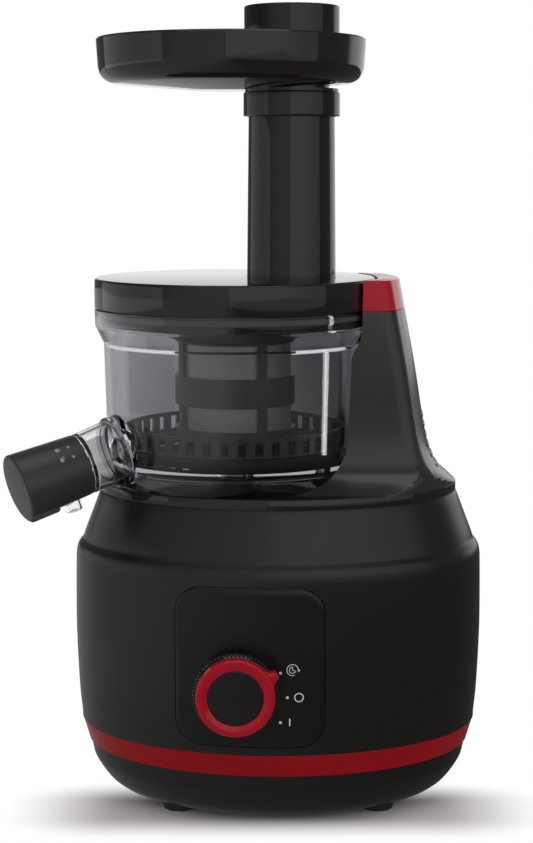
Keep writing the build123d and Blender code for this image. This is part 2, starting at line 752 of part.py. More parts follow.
# ---------------------------------------------------------------- motor
def make_motor(nodes):
    case = rod(motor_radius, motor_bottom, motor_top, motor_x)
    case -= rod(motor_radius - motor_wall, motor_bottom + 1.5, motor_top + 1, motor_x)
    case -= rod(7.0, motor_bottom - 1, motor_bottom + 2, motor_x)
    for i in range(8):
        window = Rot(0, 0, 22.5 + 45 * i) * block(motor_radius - 4, motor_radius + 2, -5.0, 5.0, motor_top - 14, motor_top - 6)
        case -= Pos(motor_x, 0, 0) * window
    nodes["motor_case"] = case

    lid = rod(motor_radius, motor_top, motor_top + 3.0, motor_x)
    lid -= rod(7.0, motor_top - 1, motor_top + 4, motor_x)
    for x, y in motor_post_places():
        lid += rod(4.0, motor_top + 3.0, motor_top + 3.0 + motor_post_height, x, y)
        lid -= rod(screw_radius + hole_gap, motor_top - 1, motor_top + 20, x, y)
    for i in range(4):
        lid -= Pos(motor_x, 0, 0) * Rot(0, 0, 90 * i) * block(12.0, 22.0, -5.0, 5.0, motor_top - 1, motor_top + 4)
    nodes["motor_cover"] = lid
    nodes["motor_screws"] = group([
        screw(x, y, motor_top, motor_post_height + 8.0) for x, y in motor_post_places()])

    bores = motor_shaft_radius + bearing_gap
    low = pipe(7.0, bores, motor_bottom, motor_bottom + 6.0, motor_x)
    high = pipe(7.0, bores, motor_top - 3.0, motor_top + 3.0, motor_x)
    nodes["motor_bearings"] = group([low, high])

    top = stator_bottom + stator_height
    stator = pipe(stator_radius, stator_bore, stator_bottom, top, motor_x)
    for i in range(4):
        slot = Pos(motor_x, 0, 0) * Rot(0, 0, 45 + 90 * i) * block(stator_bore - 2, stator_bore + 6.0, -5.0, 5.0,
                                                                  stator_bottom - 1, top + 1)
        stator -= slot
    for i in range(4):
        lug = Rot(0, 0, 90 * i) * block(stator_radius - 0.6, motor_radius - motor_wall - seat_gap, -4.0, 4.0,
                                        stator_bottom, top)
        stator += Pos(motor_x, 0, 0) * lug
    nodes["motor_stator"] = stator
    coils = []
    for i in range(4):
        coil = block(stator_bore + 0.5, stator_bore + 5.5, -4.6, 4.6, stator_bottom - 6.0, top + 6.0)
        coils.append(Pos(motor_x, 0, 0) * Rot(0, 0, 45 + 90 * i) * coil)
    nodes["motor_coils"] = group(coils)

    pinion_phase = pi + pi / pinion_teeth
    pinion_top = large_gear_height + large_gear_width + 1.0
    shaft = rod(motor_shaft_radius, motor_bottom + 0.5, large_gear_height - 1.0, motor_x)
    shaft += spur_gear(motor_module, pinion_teeth, large_gear_height - 1.0, pinion_top - large_gear_height + 1.0,
                       motor_x, 0.0, pinion_phase)
    nodes["motor_shaft"] = shaft
    core = pipe(rotor_radius, motor_shaft_radius, stator_bottom, top, motor_x)
    for i in range(6):
        core -= Pos(motor_x, 0, 0) * Rot(0, 0, 60 * i) * block(rotor_radius - 2.5, rotor_radius + 1, -0.8, 0.8,
                                                              stator_bottom - 1, top + 1)
    nodes["motor_rotor"] = core
    fan_bottom = motor_top + 3.5
    fan = pipe(5.0, motor_shaft_radius, fan_bottom, fan_bottom + 6.0, motor_x)
    fan += pipe(fan_radius - 3.0, motor_shaft_radius, fan_bottom, fan_bottom + 1.2, motor_x)
    blade = block(4.0, fan_radius - 3.0, -0.6, 0.6, fan_bottom, fan_bottom + 5.0)
    for item in ring_of(blade, fan_blades, motor_x):
        fan += item
    nodes["motor_fan"] = fan

    nodes["motor_pad"] = pipe(motor_radius + 1.5, motor_radius - 4.0, motor_bottom - 4.0, motor_bottom, motor_x)


def make_board(nodes):
    x = board_place()
    z = board_bottom()
    board = block(x - 0.8, x + 0.8, -28.0, 28.0, z, z + 70.0)
    nodes["circuit_board"] = board
    parts = [
        block(x + 0.8, x + 14.0, -20.0, -2.0, z + 14.0, z + 32.0),
        block(x + 0.8, x + 9.0, 6.0, 18.0, z + 16.0, z + 28.0),
        Pos(x + 7.8, -10.0, z + 48.0) * Rot(0, 90, 0) * Cylinder(6.0, 14.0),
        Pos(x + 5.8, 10.0, z + 46.0) * Rot(0, 90, 0) * Cylinder(4.0, 10.0),
        block(x + 0.8, x + 8.0, -22.0, -12.0, z + 58.0, z + 66.0),
    ]
    nodes["board_components"] = group(parts)


# ---------------------------------------------------------------- bowl
def bowl_outline(inset):
    """Radius and height of the bowl's outer wall, drawn in by inset."""
    b = bowl_base
    return [
        (bowl_low_radius - inset, b + bowl_foot_height),
        (bowl_ledge_radius - 1.6 - inset, b + 14.0),
        (bowl_ledge_radius - inset, b + bowl_ledge_height),
        (bowl_top_radius - inset, b + bowl_shoulder_height),
        (bowl_collar_radius - inset, b + bowl_collar_height),
        (bowl_collar_radius - inset, b + bowl_height),
    ]


def spout_place(piece):
    """Stand a piece made along +Z on the juice spout's axis."""
    yaw = radians(spout_yaw)
    x = bowl_x - spout_wall_radius * cos(yaw)
    y = -spout_wall_radius * sin(yaw)
    return Pos(x, y, spout_height) * Rot(0, 0, spout_yaw) * Rot(0, -90 - spout_pitch, 0) * piece


def make_bowl(nodes):
    b = bowl_base
    outline = bowl_outline(0)
    outer = turned([(0, b), (bowl_foot_radius, b), (bowl_foot_radius, b + bowl_foot_height)] + outline
                   + [(0, b + bowl_height)], bowl_x)
    inner = bowl_outline(bowl_wall)
    chamber = turned([(0, bowl_floor), (inner[2][0] - 0.7, bowl_floor)] + inner[2:] + [(inner[-1][0], bowl_rim + 1),
                      (0, bowl_rim + 1)], bowl_x)
    under_top = bowl_floor - bowl_floor_thickness
    under = turned([(hub_radius, b - 1), (bowl_foot_radius - bowl_wall, b - 1),
                    (bowl_foot_radius - bowl_wall, b + bowl_foot_height), (inner[1][0] - 1.2, under_top),
                    (hub_radius, under_top)], bowl_x)
    boss = spout_place(Pos(0, 0, -5.0) * Cylinder(spout_boss_radius, 10.0))
    foot_space = block(-150, 150, -150, 150, 0, deck_top + seat_gap) - rod(bowl_foot_radius, b, deck_top + 1, bowl_x)
    duct_top = bowl_floor
    duct_low = duct_top - bowl_floor_thickness - duct_height - duct_wall
    duct = block(bowl_x - duct_width / 2 - duct_wall, bowl_x + duct_width / 2 + duct_wall, duct_start - duct_wall,
                 duct_reach, max(duct_low, deck_top + seat_gap), duct_top)
    duct_hole = block(bowl_x - duct_width / 2, bowl_x + duct_width / 2, duct_start, duct_reach + 1,
                      duct_low + duct_wall, under_top)
    hub_bore = rod(seal_radius(), b - 1, b + 12.0, bowl_x) + rod(hex_clear_radius(), b, bowl_floor + 1, bowl_x)
    hole_end = pulp_hole_start + pulp_hole_length
    pulp_hole = block(bowl_x - pulp_hole_width / 2, bowl_x + pulp_hole_width / 2, pulp_hole_start, hole_end,
                      under_top - 1, bowl_floor + 1)
    inlet = spout_place(Cylinder(spout_inlet_radius, 30.0))
    flange_seat = spout_place(Pos(0, 0, 10.0) * Cylinder(spout_flange_radius + seat_gap, 20.0))
    pin_hole = rod(idler_pin_radius, under_top - 1, bowl_floor + 1, idler_x)
    shell = outer - chamber - under
    nodes["bowl_shell"] = shell - boss - duct - hub_bore - flange_seat - pin_hole
    nodes["spout_boss"] = boss - chamber - foot_space - inlet - flange_seat
    nodes["pulp_duct"] = duct - chamber - duct_hole - pulp_hole

    nodes["shaft_seal"] = pipe(seal_radius(), drive_shaft_radius + 0.25, b + 6.0, b + 12.0, bowl_x)
    nodes["idler_pin"] = rod(idler_pin_radius, under_top, gear_top + 1.0, idler_x)

    # clear spout: flange on the bowl's boss, cone, and a tube inside the cap
    tube_start = spout_cone_length
    spout = revolve(Plane.XZ * make_face(Polyline(
        (0, 0), (spout_flange_radius, 0), (spout_flange_radius, spout_flange_thickness),
        (spout_cone_radius, spout_flange_thickness), (spout_cone_radius - 1.6, tube_start - 1.5),
        (spout_tube_radius, tube_start), (spout_tube_radius, spout_length), (0, spout_length), close=True)), Axis.Z)
    passage = revolve(Plane.XZ * make_face(Polyline(
        (0, -1), (spout_inlet_radius, -1), (spout_inlet_radius, spout_flange_thickness - 1.0),
        (spout_cone_radius - spout_wall, spout_flange_thickness), (spout_tube_radius - spout_wall, tube_start),
        (spout_tube_radius - spout_wall, spout_length - 2.0), (0, spout_length - 2.0), close=True)), Axis.Z)
    way_down = Pos(0, 0, nozzle_at) * Rot(0, -90, 0)
    nozzle = way_down * Pos(0, 0, (nozzle_reach + spout_tube_radius) / 2 - 1) * Cylinder(
        nozzle_radius, nozzle_reach - spout_tube_radius + 2)
    nozzle_bore = way_down * Pos(0, 0, nozzle_reach / 2 + 2) * Cylinder(nozzle_radius - nozzle_wall, nozzle_reach)
    nodes["juice_spout"] = spout_place(spout + nozzle - passage - nozzle_bore)
    nodes["spout_seal"] = spout_place(Pos(0, 0, spout_length - 6.0) * (
        Cylinder(spout_tube_radius + 0.9, 2.4) - Cylinder(spout_tube_radius, 3.0)))


def seal_radius():
    return drive_shaft_radius + 2.6


def hex_clear_radius():
    return drive_shaft_radius + 0.6


def make_spout_cap(nodes):
    start = spout_cone_length + seat_gap
    end = start + cap_length
    bore = spout_tube_radius + 1.0 + seat_gap
    cap = revolve(Plane.XZ * make_face(Polyline(
        (0, start), (cap_open_radius, start), (cap_end_radius, end - 1.5), (cap_end_radius - 1.5, end), (0, end),
        close=True)), Axis.Z)
    cap -= Pos(0, 0, (start + spout_length + seat_gap) / 2 - 1) * Cylinder(bore, spout_length + seat_gap - start + 2)
    window = Pos(0, 0, nozzle_at) * (Cylinder(30.0, 2 * nozzle_radius + 2.0) - Cylinder(bore - 1, 2 * nozzle_radius + 4))
    spread = degrees_of(nozzle_radius + 1.0, bore)
    wedge = Pos(0, 0, nozzle_at) * sector(40.0, 180.0 - cap_twist - spread, 180.0 + spread, 2 * nozzle_radius + 4)
    cap -= window & wedge
    finger = Pos(0, 0, end - 4.0) * sector(40.0, 206.0, 232.0, 9.0)
    rim = Pos(0, 0, end - 4.0) * (Cylinder(30.0, 9.0) - Cylinder(cap_end_radius - 1.0, 10.0))
    cap -= finger & rim
    nodes["spout_cap"] = spout_place(cap)


def degrees_of(chord, radius):
    return chord / radius * 180 / pi


def sector(radius, start, end, height):
    """Wedge of a disc between two angles, centred on its height."""
    points = [(0, 0)]
    steps = 6
    for i in range(steps + 1):
        a = radians(start + (end - start) * i / steps)
        points.append((radius * cos(a), radius * sin(a)))
    return Pos(0, 0, -height / 2) * extrude(make_face(Polyline(*points, close=True)), height)


# ---------------------------------------------------------------- strainer
def make_strainer(nodes):
    b = bowl_base
    floor = strainer_floor
    floor_top = floor + strainer_floor_thickness
    top = b + strainer_top_height
    inner = strainer_radius - strainer_wall
    frame = turned([
        (strainer_hole_radius, floor), (strainer_radius, floor), (strainer_radius, top),
        (funnel_radius, top + funnel_rise), (funnel_radius, top + funnel_rise + funnel_rim_height),
        (funnel_radius - strainer_wall, top + funnel_rise + funnel_rim_height),
        (funnel_radius - strainer_wall, top + funnel_rise + 1.6), (inner, top + 1.8), (inner, floor_top),
        (strainer_hole_radius, floor_top)], bowl_x)
    for start, height in ((window_low_start, window_low_height), (window_high_start, window_high_height)):
        middle = b + start + height / 2
        cutter = sector(strainer_radius + 2, -window_angle / 2, window_angle / 2, height)
        cutter -= Cylinder(inner - 1, height + 2)
        for item in ring_of(Pos(0, 0, middle) * cutter, window_count, bowl_x, 0.0, 0.0):
            frame -= item
    leg = rod(leg_radius, bowl_floor + seat_gap, floor, leg_circle, 0.0)
    for angle in (150.0, 215.0, 282.0):
        frame += Pos(bowl_x, 0, 0) * Rot(0, 0, angle) * leg
    hole_end = pulp_hole_start + pulp_hole_length
    chute_out = block(bowl_x - pulp_hole_width / 2, bowl_x + pulp_hole_width / 2, pulp_hole_start, hole_end,
                      bowl_floor + seat_gap, floor)
    chute_in = block(bowl_x - pulp_hole_width / 2 + 1.6, bowl_x + pulp_hole_width / 2 - 1.6, pulp_hole_start + 1.6,
                     hole_end - 1.6, bowl_floor - 1, floor_top + 1)
    frame = frame + chute_out - (chute_in & (rod(inner, 0, 400, bowl_x) + slab(0, floor)))
    nodes["strainer_frame"] = frame

    mesh_outer = inner - hole_gap
    nodes["strainer_mesh"] = pipe(mesh_outer, mesh_outer - mesh_thickness, floor_top, top, bowl_x)


# ---------------------------------------------------------------- auger
def make_auger(nodes):
    floor_top = strainer_floor + strainer_floor_thickness
    start = floor_top + seat_gap
    neck = strainer_hole_radius - 0.8
    flight_radius = strainer_radius - strainer_wall - hole_gap - mesh_thickness - auger_gap
    flight_top = start + flight_height
    nose_top = lid_bottom - auger_pin_length - spigot_hub_gap()
    core = turned([
        (0, gear_top), (neck, gear_top), (neck, start), (flight_radius, start), (flight_radius, start + 2.2),
        (auger_core_bottom + 4.0, start + 7.0), (auger_core_bottom, start + 14.0), (auger_core_top + 1.5, flight_top - 8.0),
        (auger_core_top, flight_top), (auger_core_top - 2.0, nose_top - 1.5), (auger_core_top - 3.5, nose_top),
        (0, nose_top)], 0.0)
    lobes = Circle(auger_core_top - 1.0)
    for i in range(flight_count):
        lobes += Rot(0, 0, 360.0 * i / flight_count) * Pos(flight_radius / 2, 0) * Rectangle(flight_radius + 4, flight_width)
    twist = Solid.extrude_linear_with_rotation(lobes.face(), (0, 0, start), (0, 0, flight_height), flight_turn)
    envelope = turned([
        (0, start), (flight_radius, start), (flight_radius, flight_top - 14.0), (flight_radius - 3.0, flight_top - 5.0),
        (auger_core_top - 0.5, flight_top), (0, flight_top)], 0.0)
    screw_body = core + (twist & envelope)
    socket = Pos(0, 0, gear_bottom - 1) * extrude(
        RegularPolygon(hex_across_flats / 2 + hex_gap, 6, major_radius=False), hex_top + 1.5 - gear_bottom)
    screw_body -= socket
    nodes["auger"] = Pos(bowl_x, 0, 0) * screw_body

    pin_bottom = nose_top
    nodes["auger_pin"] = rod(auger_pin_radius, pin_bottom, pin_bottom + auger_pin_length, bowl_x)

    gear = spur_gear(bowl_module, sun_teeth, gear_bottom, bowl_gear_width, 0.0) - socket
    nodes["auger_gear"] = Pos(bowl_x, 0, 0) * gear

    idler = spur_gear(bowl_module, idler_teeth, gear_bottom, bowl_gear_width, idler_x, 0.0, pi + pi / idler_teeth)
    idler -= rod(idler_pin_radius + bearing_gap, gear_bottom - 1, gear_top + 1, idler_x)
    idler -= pipe(idler_pitch - 4.0, idler_pin_radius + 3.0, gear_top - 2.0, gear_top + 1, idler_x)
    nodes["brush_idler"] = idler


def spigot_hub_gap():
    return 0.6


# ---------------------------------------------------------------- brush cage
def make_brush(nodes):
    b = bowl_base
    ring_outer = ring_pitch + bowl_module * 2.6
    ring_space = gear_face(bowl_module, ring_teeth, pi / ring_teeth, tip=1.0, root=addendum, backlash=-gear_backlash)
    ring = rod(ring_outer, gear_bottom, gear_top) - Pos(0, 0, gear_bottom - 1) * extrude(ring_space, bowl_gear_width + 2)
    slot_top = gear_top + 1.5 + cage_slot_height
    cage_top = b + cage_height + bowl_floor_height
    inner = cage_radius - cage_wall
    crown = turned([(ring_outer - 2.2, gear_top), (ring_outer, gear_top), (cage_radius, gear_top + 1.5), (cage_radius, slot_top + 2),
                    (inner, slot_top + 2), (inner, gear_top + 2.5), (ring_outer - 2.2, gear_top + 1.2)])
    tooth_pitch = 2 * pi * cage_radius / cage_slot_count
    slot = block(inner - 2, cage_radius + 2, -tooth_pitch * 0.24, tooth_pitch * 0.24, gear_top + 2.8, slot_top)
    for item in ring_of(slot, cage_slot_count):
        crown -= item
    wall = pipe(cage_radius, inner, slot_top + 2, cage_top)
    cage = fused([ring, crown, wall])
    nodes["brush_cage"] = Pos(bowl_x, 0, 0) * cage

    blade_inner = strainer_radius + seat_gap + 0.4
    blades = []
    for angle in (0.0, 180.0):
        blade = block(blade_inner, inner - 0.02, -blade_thickness / 2, blade_thickness / 2, slot_top + 4.0, cage_top - 3.0)
        blades.append(Pos(bowl_x, 0, 0) * Rot(0, 0, angle) * blade)
    nodes["wiper_blades"] = group(blades)


# ---------------------------------------------------------------- lid, tray, pusher
def make_lid(nodes):
    under = lid_top - lid_wall
    plate = turned([
        (0, lid_top), (lid_radius - 1.0, lid_top), (lid_radius, lid_top - 1.0), (lid_radius, lid_bottom),
        (spigot_radius, lid_bottom), (spigot_radius, lid_bottom - spigot_depth),
        (spigot_radius - spigot_wall, lid_bottom - spigot_depth), (spigot_radius - spigot_wall, under), (0, under)], bowl_x)
    tube = Pos(tube_x, 0, (lid_top + tube_top) / 2) * Cone(tube_radius, tube_top_radius, tube_top - lid_top)
    tube += rod(tube_radius, lid_bottom - 2.0, lid_top, tube_x)
    hub = rod(6.2, lid_bottom - auger_pin_length - 0.2, under, bowl_x)
    hub -= rod(auger_pin_radius + 0.08, lid_bottom - auger_pin_length - 1, lid_bottom + 0.4, bowl_x)
    bore = rod(tube_bore_radius, lid_bottom - 5, tube_top + 1, tube_x)
    nodes["lid"] = plate + hub - rod(tube_radius + hole_gap, lid_bottom - 10, lid_top + 1, tube_x)
    nodes["feed_tube"] = tube - bore
    gasket_outer = bowl_collar_radius - bowl_wall - seat_gap
    nodes["lid_gasket"] = pipe(gasket_outer, spigot_radius, lid_bottom - 4.5, lid_bottom - 2.0, bowl_x)
    magnet_x = bowl_x + spigot_radius - spigot_wall - 0.5
    nodes["lid_magnet"] = block(magnet_x - 4.0, magnet_x, -4.0, 4.0, under - 5.0, under)


def make_tray(nodes):
    bottom = tray_floor - tray_wall
    wall_in = tray_radius - tray_wall
    dish = turned([
        (0, bottom), (tray_floor_radius, bottom), (tray_radius - 8.6, bottom + 1.8), (tray_radius - 4.0, bottom + 5.6),
        (tray_radius - 2.2, bottom + 10.0), (tray_radius - 0.8, tray_rim - 4), (tray_radius, tray_rim - 1.0),
        (tray_radius - 0.8, tray_rim), (wall_in + 0.4, tray_rim), (wall_in - 1.2, tray_rim - 4),
        (wall_in - 2.4, bottom + 10.6), (wall_in - 5.4, bottom + 6.4), (wall_in - 9.0, bottom + 3.6),
        (tray_floor_radius + 2.4, tray_floor), (0, tray_floor)], tray_x)
    collar_top = bottom - neck_height
    sleeve_bore = tube_radius_at(tube_top - collar_drop - neck_height) + seat_gap
    collar = rod(collar_radius, collar_top - collar_drop + neck_height, collar_top, tube_x)
    collar += rod(neck_radius, collar_top, bottom, tube_x)
    dish = dish + collar
    dish -= rod(sleeve_bore, collar_top - collar_drop - 5, bottom, tube_x)
    dish -= rod(tube_bore_radius, bottom - 1, tray_floor + 1, tube_x)
    nodes["tray"] = dish


def tube_radius_at(height):
    share = (height - lid_top) / (tube_top - lid_top)
    return tube_radius + (tube_top_radius - tube_radius) * share


def make_pusher(nodes):
    seat = tray_floor + seat_gap
    body = rod(pusher_radius, seat - pusher_length, seat + 2.0, tube_x)
    body -= rod(pusher_radius - pusher_wall, seat - pusher_length + pusher_wall, seat + 3.0, tube_x)
    grip = rod(pusher_cap_radius, seat, seat + pusher_cap_height, tube_x)
    grip = fillet(grip.edges().group_by(Axis.Z)[-1], 1.2)
    grip -= rod(pusher_cap_radius - pusher_cap_wall, seat + pusher_cap_wall, seat + pusher_cap_height + 1, tube_x)
    floor = rod(pusher_cap_radius - pusher_cap_wall + 0.2, seat + pusher_cap_height - 7.0,
                seat + pusher_cap_height - 5.0, tube_x)
    grip -= rod(pusher_radius - pusher_wall, seat - 1, seat + pusher_cap_wall + 1, tube_x)
    nodes["pusher"] = body + grip + floor
    groove = seat - pusher_length + 8.0
    nodes["pusher"] = nodes["pusher"] - pipe(pusher_radius + 1, pusher_radius - 0.8, groove, groove + 3.0, tube_x)
    nodes["pusher_ring"] = pipe(pusher_radius + 0.3, pusher_radius - 0.8, groove, groove + 3.0, tube_x)


# ---------------------------------------------------------------- assembly
def build():
    nodes = {}
    make_base_shell(nodes)
    make_panel(nodes)
    make_knob(nodes)
    make_deck(nodes)
    make_gearbox(nodes)
    make_motor(nodes)
    make_board(nodes)
    make_bowl(nodes)
    make_spout_cap(nodes)
    make_strainer(nodes)
    make_auger(nodes)
    make_brush(nodes)
    make_lid(nodes)
    make_tray(nodes)
    make_pusher(nodes)
    return nodes


nodes = build()
boxes = [shape.bounding_box() for shape in nodes.values()]
low = [min(tuple(box.min)[i] for box in boxes) for i in range(3)]
high = [max(tuple(box.max)[i] for box in boxes) for i in range(3)]
origin = ((low[0] + high[0]) / 2, (low[1] + high[1]) / 2, low[2])
os.makedirs("parts", exist_ok=True)
for name, shape in nodes.items():
    export_step(Pos(-origin[0], -origin[1], -origin[2]) * shape, f"parts/{name}.step")
print("origin", [round(value, 3) for value in origin])
print("size", [round(high[i] - low[i], 2) for i in range(3)])
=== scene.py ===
import json
from math import asin, cos, hypot, pi, radians, sin, sqrt, tan

import bmesh
import bpy
from mathutils import Matrix, Vector

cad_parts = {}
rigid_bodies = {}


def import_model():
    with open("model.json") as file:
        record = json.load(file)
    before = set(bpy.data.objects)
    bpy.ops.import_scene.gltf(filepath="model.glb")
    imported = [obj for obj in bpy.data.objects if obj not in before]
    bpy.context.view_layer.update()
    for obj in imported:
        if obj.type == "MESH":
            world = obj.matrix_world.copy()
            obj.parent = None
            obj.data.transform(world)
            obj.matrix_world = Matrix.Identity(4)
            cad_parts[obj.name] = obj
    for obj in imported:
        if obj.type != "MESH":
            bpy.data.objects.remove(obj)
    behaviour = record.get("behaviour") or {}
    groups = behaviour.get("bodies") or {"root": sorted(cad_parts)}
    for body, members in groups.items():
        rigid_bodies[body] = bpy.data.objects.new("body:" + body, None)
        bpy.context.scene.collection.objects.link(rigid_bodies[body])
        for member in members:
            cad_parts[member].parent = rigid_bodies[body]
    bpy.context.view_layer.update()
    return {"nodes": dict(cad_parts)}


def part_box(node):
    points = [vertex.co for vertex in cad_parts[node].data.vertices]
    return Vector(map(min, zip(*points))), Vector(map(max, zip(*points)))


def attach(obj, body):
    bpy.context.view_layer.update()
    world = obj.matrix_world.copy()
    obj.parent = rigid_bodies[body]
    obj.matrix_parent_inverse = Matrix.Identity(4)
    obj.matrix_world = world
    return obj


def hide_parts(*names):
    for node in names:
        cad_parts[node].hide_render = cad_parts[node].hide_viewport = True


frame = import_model()
nodes = frame["nodes"]


# ---------------------------------------------------------------- main housing
# The tall oval housing is one satin black ABS moulding that tapers in to the
# deck above a soft shoulder. It stands on the bottom cover and is screwed to it.
band_low, band_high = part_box("accent_band")
middle = (band_low + band_high) / 2
oval_ratio = 75.2 / 104.4
wall = 2.8


def at(x, y, z):
    """Place in metres of a point in millimetres from the base's middle at table level."""
    return Vector((x / 1000 + middle.x, y / 1000 + middle.y, z / 1000))


def span(node):
    """Lowest and highest corner of a CAD node, in millimetres from the base's middle."""
    low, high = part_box(node)
    base = Vector((middle.x, middle.y, 0))
    return (low - base) * 1000, (high - base) * 1000


def added(name, data):
    """New object in the scene, of a mesh, a lamp or a camera."""
    item = bpy.data.objects.new(name, data)
    bpy.context.scene.collection.objects.link(item)
    return item


def mesh_of(name, corners, faces):
    """Mesh from points in millimetres."""
    mesh = bpy.data.meshes.new(name)
    mesh.from_pydata([at(*corner) for corner in corners], [], faces)
    return mesh


def mesh_piece(name, corners, faces, sharp):
    """Object from points in millimetres, with outward normals and smooth shading up to an angle."""
    mesh = mesh_of(name, corners, faces)
    work = bmesh.new()
    work.from_mesh(mesh)
    bmesh.ops.remove_doubles(work, verts=work.verts, dist=2e-6)
    bmesh.ops.recalc_face_normals(work, faces=work.faces)
    work.to_mesh(mesh)
    work.free()
    mesh.shade_smooth()
    mesh.set_sharp_from_angle(angle=radians(sharp))
    return added(name, mesh)


def skin(name, rings, joined=False, sharp=32.0):
    """Closed skin over rings of equally many points; joined makes the last ring meet the first."""
    count = len(rings[0])
    corners = [point for ring in rings for point in ring]
    faces = []
    for i in range(len(rings) if joined else len(rings) - 1):
        here = i * count
        above = (i + 1) % len(rings) * count
        for k in range(count):
            after = (k + 1) % count
            faces.append((here + k, here + after, above + after, above + k))
    if not joined:
        faces.append(tuple(range(count)))
        faces.append(tuple(range(len(corners) - count, len(corners))))
    return mesh_piece(name, corners, faces, sharp)


def through(points, steps):
    """Smooth curve through (height, value) points, sampled between them."""
    ends = [points[0]] + list(points) + [points[-1]]
    curve = []
    for i in range(len(points) - 1):
        (za, a), (zb, b), (zc, c), (zd, d) = ends[i:i + 4]
        rise = (c - a) / (zc - za) * (zc - zb)
        fall = (d - b) / (zd - zb) * (zc - zb)
        for k in range(steps):
            t = k / steps
            value = ((2 * t ** 3 - 3 * t ** 2 + 1) * b + (t ** 3 - 2 * t ** 2 + t) * rise
                     + (3 * t ** 2 - 2 * t ** 3) * c + (t ** 3 - t ** 2) * fall)
            curve.append((zb + (zc - zb) * t, value))
    return curve + [points[-1]]


def oval(height, reach, inset=0.0, count=288):
    """Level ring of the base at a height."""
    ring = []
    for k in range(count):
        turn = 2 * pi * k / count
        ring.append(((reach - inset) * cos(turn), (reach * oval_ratio - inset) * sin(turn), height))
    return ring


def feed(tree, made, inputs):
    """Sets a node's inputs, or links them where the value is another node's output."""
    for key, value in inputs.items():
        if isinstance(value, bpy.types.NodeSocket):
            tree.links.new(value, made.inputs[key])
        else:
            made.inputs[key].default_value = value


def node_of(tree, kind, inputs=(), **settings):
    """New node with its settings and inputs."""
    made = tree.nodes.new(kind)
    for key, value in settings.items():
        setattr(made, key, value)
    feed(tree, made, dict(inputs))
    return made


def output_of(tree, kind, inputs=(), **settings):
    """First output that a new node has in use."""
    return next(output for output in node_of(tree, kind, inputs, **settings).outputs if output.enabled)


def blend_of(tree, share, dark, light):
    """Colour between two colours."""
    return output_of(tree, "ShaderNodeMix", {"Factor": share, "A": dark, "B": light}, data_type="RGBA")


def ramp_of(tree, value, start, end, low=0.0, high=1.0, kind="LINEAR"):
    """Number that runs from low to high while a value runs from start to end."""
    inputs = {"Value": value, "From Min": start, "From Max": end, "To Min": low, "To Max": high}
    return output_of(tree, "ShaderNodeMapRange", inputs, interpolation_type=kind)


def principled(name):
    """New material with its node tree and shader."""
    material = bpy.data.materials.new(name)
    material.use_nodes = True
    return material, material.node_tree, material.node_tree.nodes["Principled BSDF"]


def moulded(name, dark, light, smooth, rough, grain=900.0, relief=0.02, more=()):
    """Moulded plastic: colour and gloss wander a little, with a fine skin; more sets shader inputs."""
    material, tree, shader = principled(name)
    place = node_of(tree, "ShaderNodeTexCoord").outputs["Object"]
    cloud = output_of(tree, "ShaderNodeTexNoise", {"Vector": place, "Scale": 14.0, "Detail": 3.0})
    fine = output_of(tree, "ShaderNodeTexNoise", {"Vector": place, "Scale": grain, "Detail": 2.0})
    skin_bump = output_of(tree, "ShaderNodeBump", {"Height": fine, "Strength": relief, "Distance": 0.0002})
    feed(tree, shader, {
        "Base Color": blend_of(tree, cloud, (*dark, 1), (*light, 1)),
        "Roughness": ramp_of(tree, cloud, 0.0, 1.0, smooth, rough),
        "Normal": skin_bump, "IOR": 1.5, **dict(more)})
    return material


satin_black = moulded("satin black ABS", (0.0085, 0.0085, 0.008), (0.0115, 0.0115, 0.0108), 0.27, 0.32,
                      1400, 0.05)
housing_top = span("main_housing")[1].z
seam = 0.25
band_top = span("accent_band")[1].z
belly_points = [(54.0, 103.2), (85.0, 104.4), (110.0, 104.3), (124.0, 104.0)]
shoulder_points = [(124.0, 104.0), (127.0, 103.6), (129.6, 102.7), (131.4, 101.3), (132.6, 100.4),
                   (136.0, 99.25)]
slope_points = [(136.0, 99.25), (147.0, 95.0), (housing_top - 1.0, 91.4), (housing_top, 90.7)]
belly = through([(band_top, 101.7)] + belly_points, 6)
shoulder = through(shoulder_points, 4)
slope = through(slope_points, 3)
outline = belly[:-1] + shoulder[:-1] + slope
outline[0] = (outline[0][0], outline[0][1] - seam)
outline.insert(1, (outline[0][0] + seam, outline[1][1] - 0.02))
rings = [oval(z, reach) for z, reach in outline]
rings += [oval(z, reach, wall) for z, reach in reversed(outline)]
main_housing = skin("main_housing_skin", rings, joined=True, sharp=40)
main_housing.data.materials.append(satin_black)
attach(main_housing, "base")
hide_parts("main_housing")


# ---------------------------------------------------------------- red band
# The band is a separate moulded ring, lacquered red. It goes right round the base
# and is held between the housing and the cover.
lacquer_red = moulded("red lacquer", (0.34, 0.0045, 0.010), (0.38, 0.005, 0.012), 0.18, 0.23, 700, 0.02,
                      {"Specular IOR Level": 0.2})
low, high = span("accent_band")
edge = [(low.z, 98.4 - seam), (low.z + seam, 98.5), (high.z - seam, 101.6), (high.z, 101.7 - seam)]
rings = [oval(z, reach) for z, reach in edge]
rings += [oval(z, reach, wall) for z, reach in reversed(edge)]
band = skin("red_band", rings, joined=True)
band.data.materials.append(lacquer_red)
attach(band, "base")
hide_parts("accent_band")


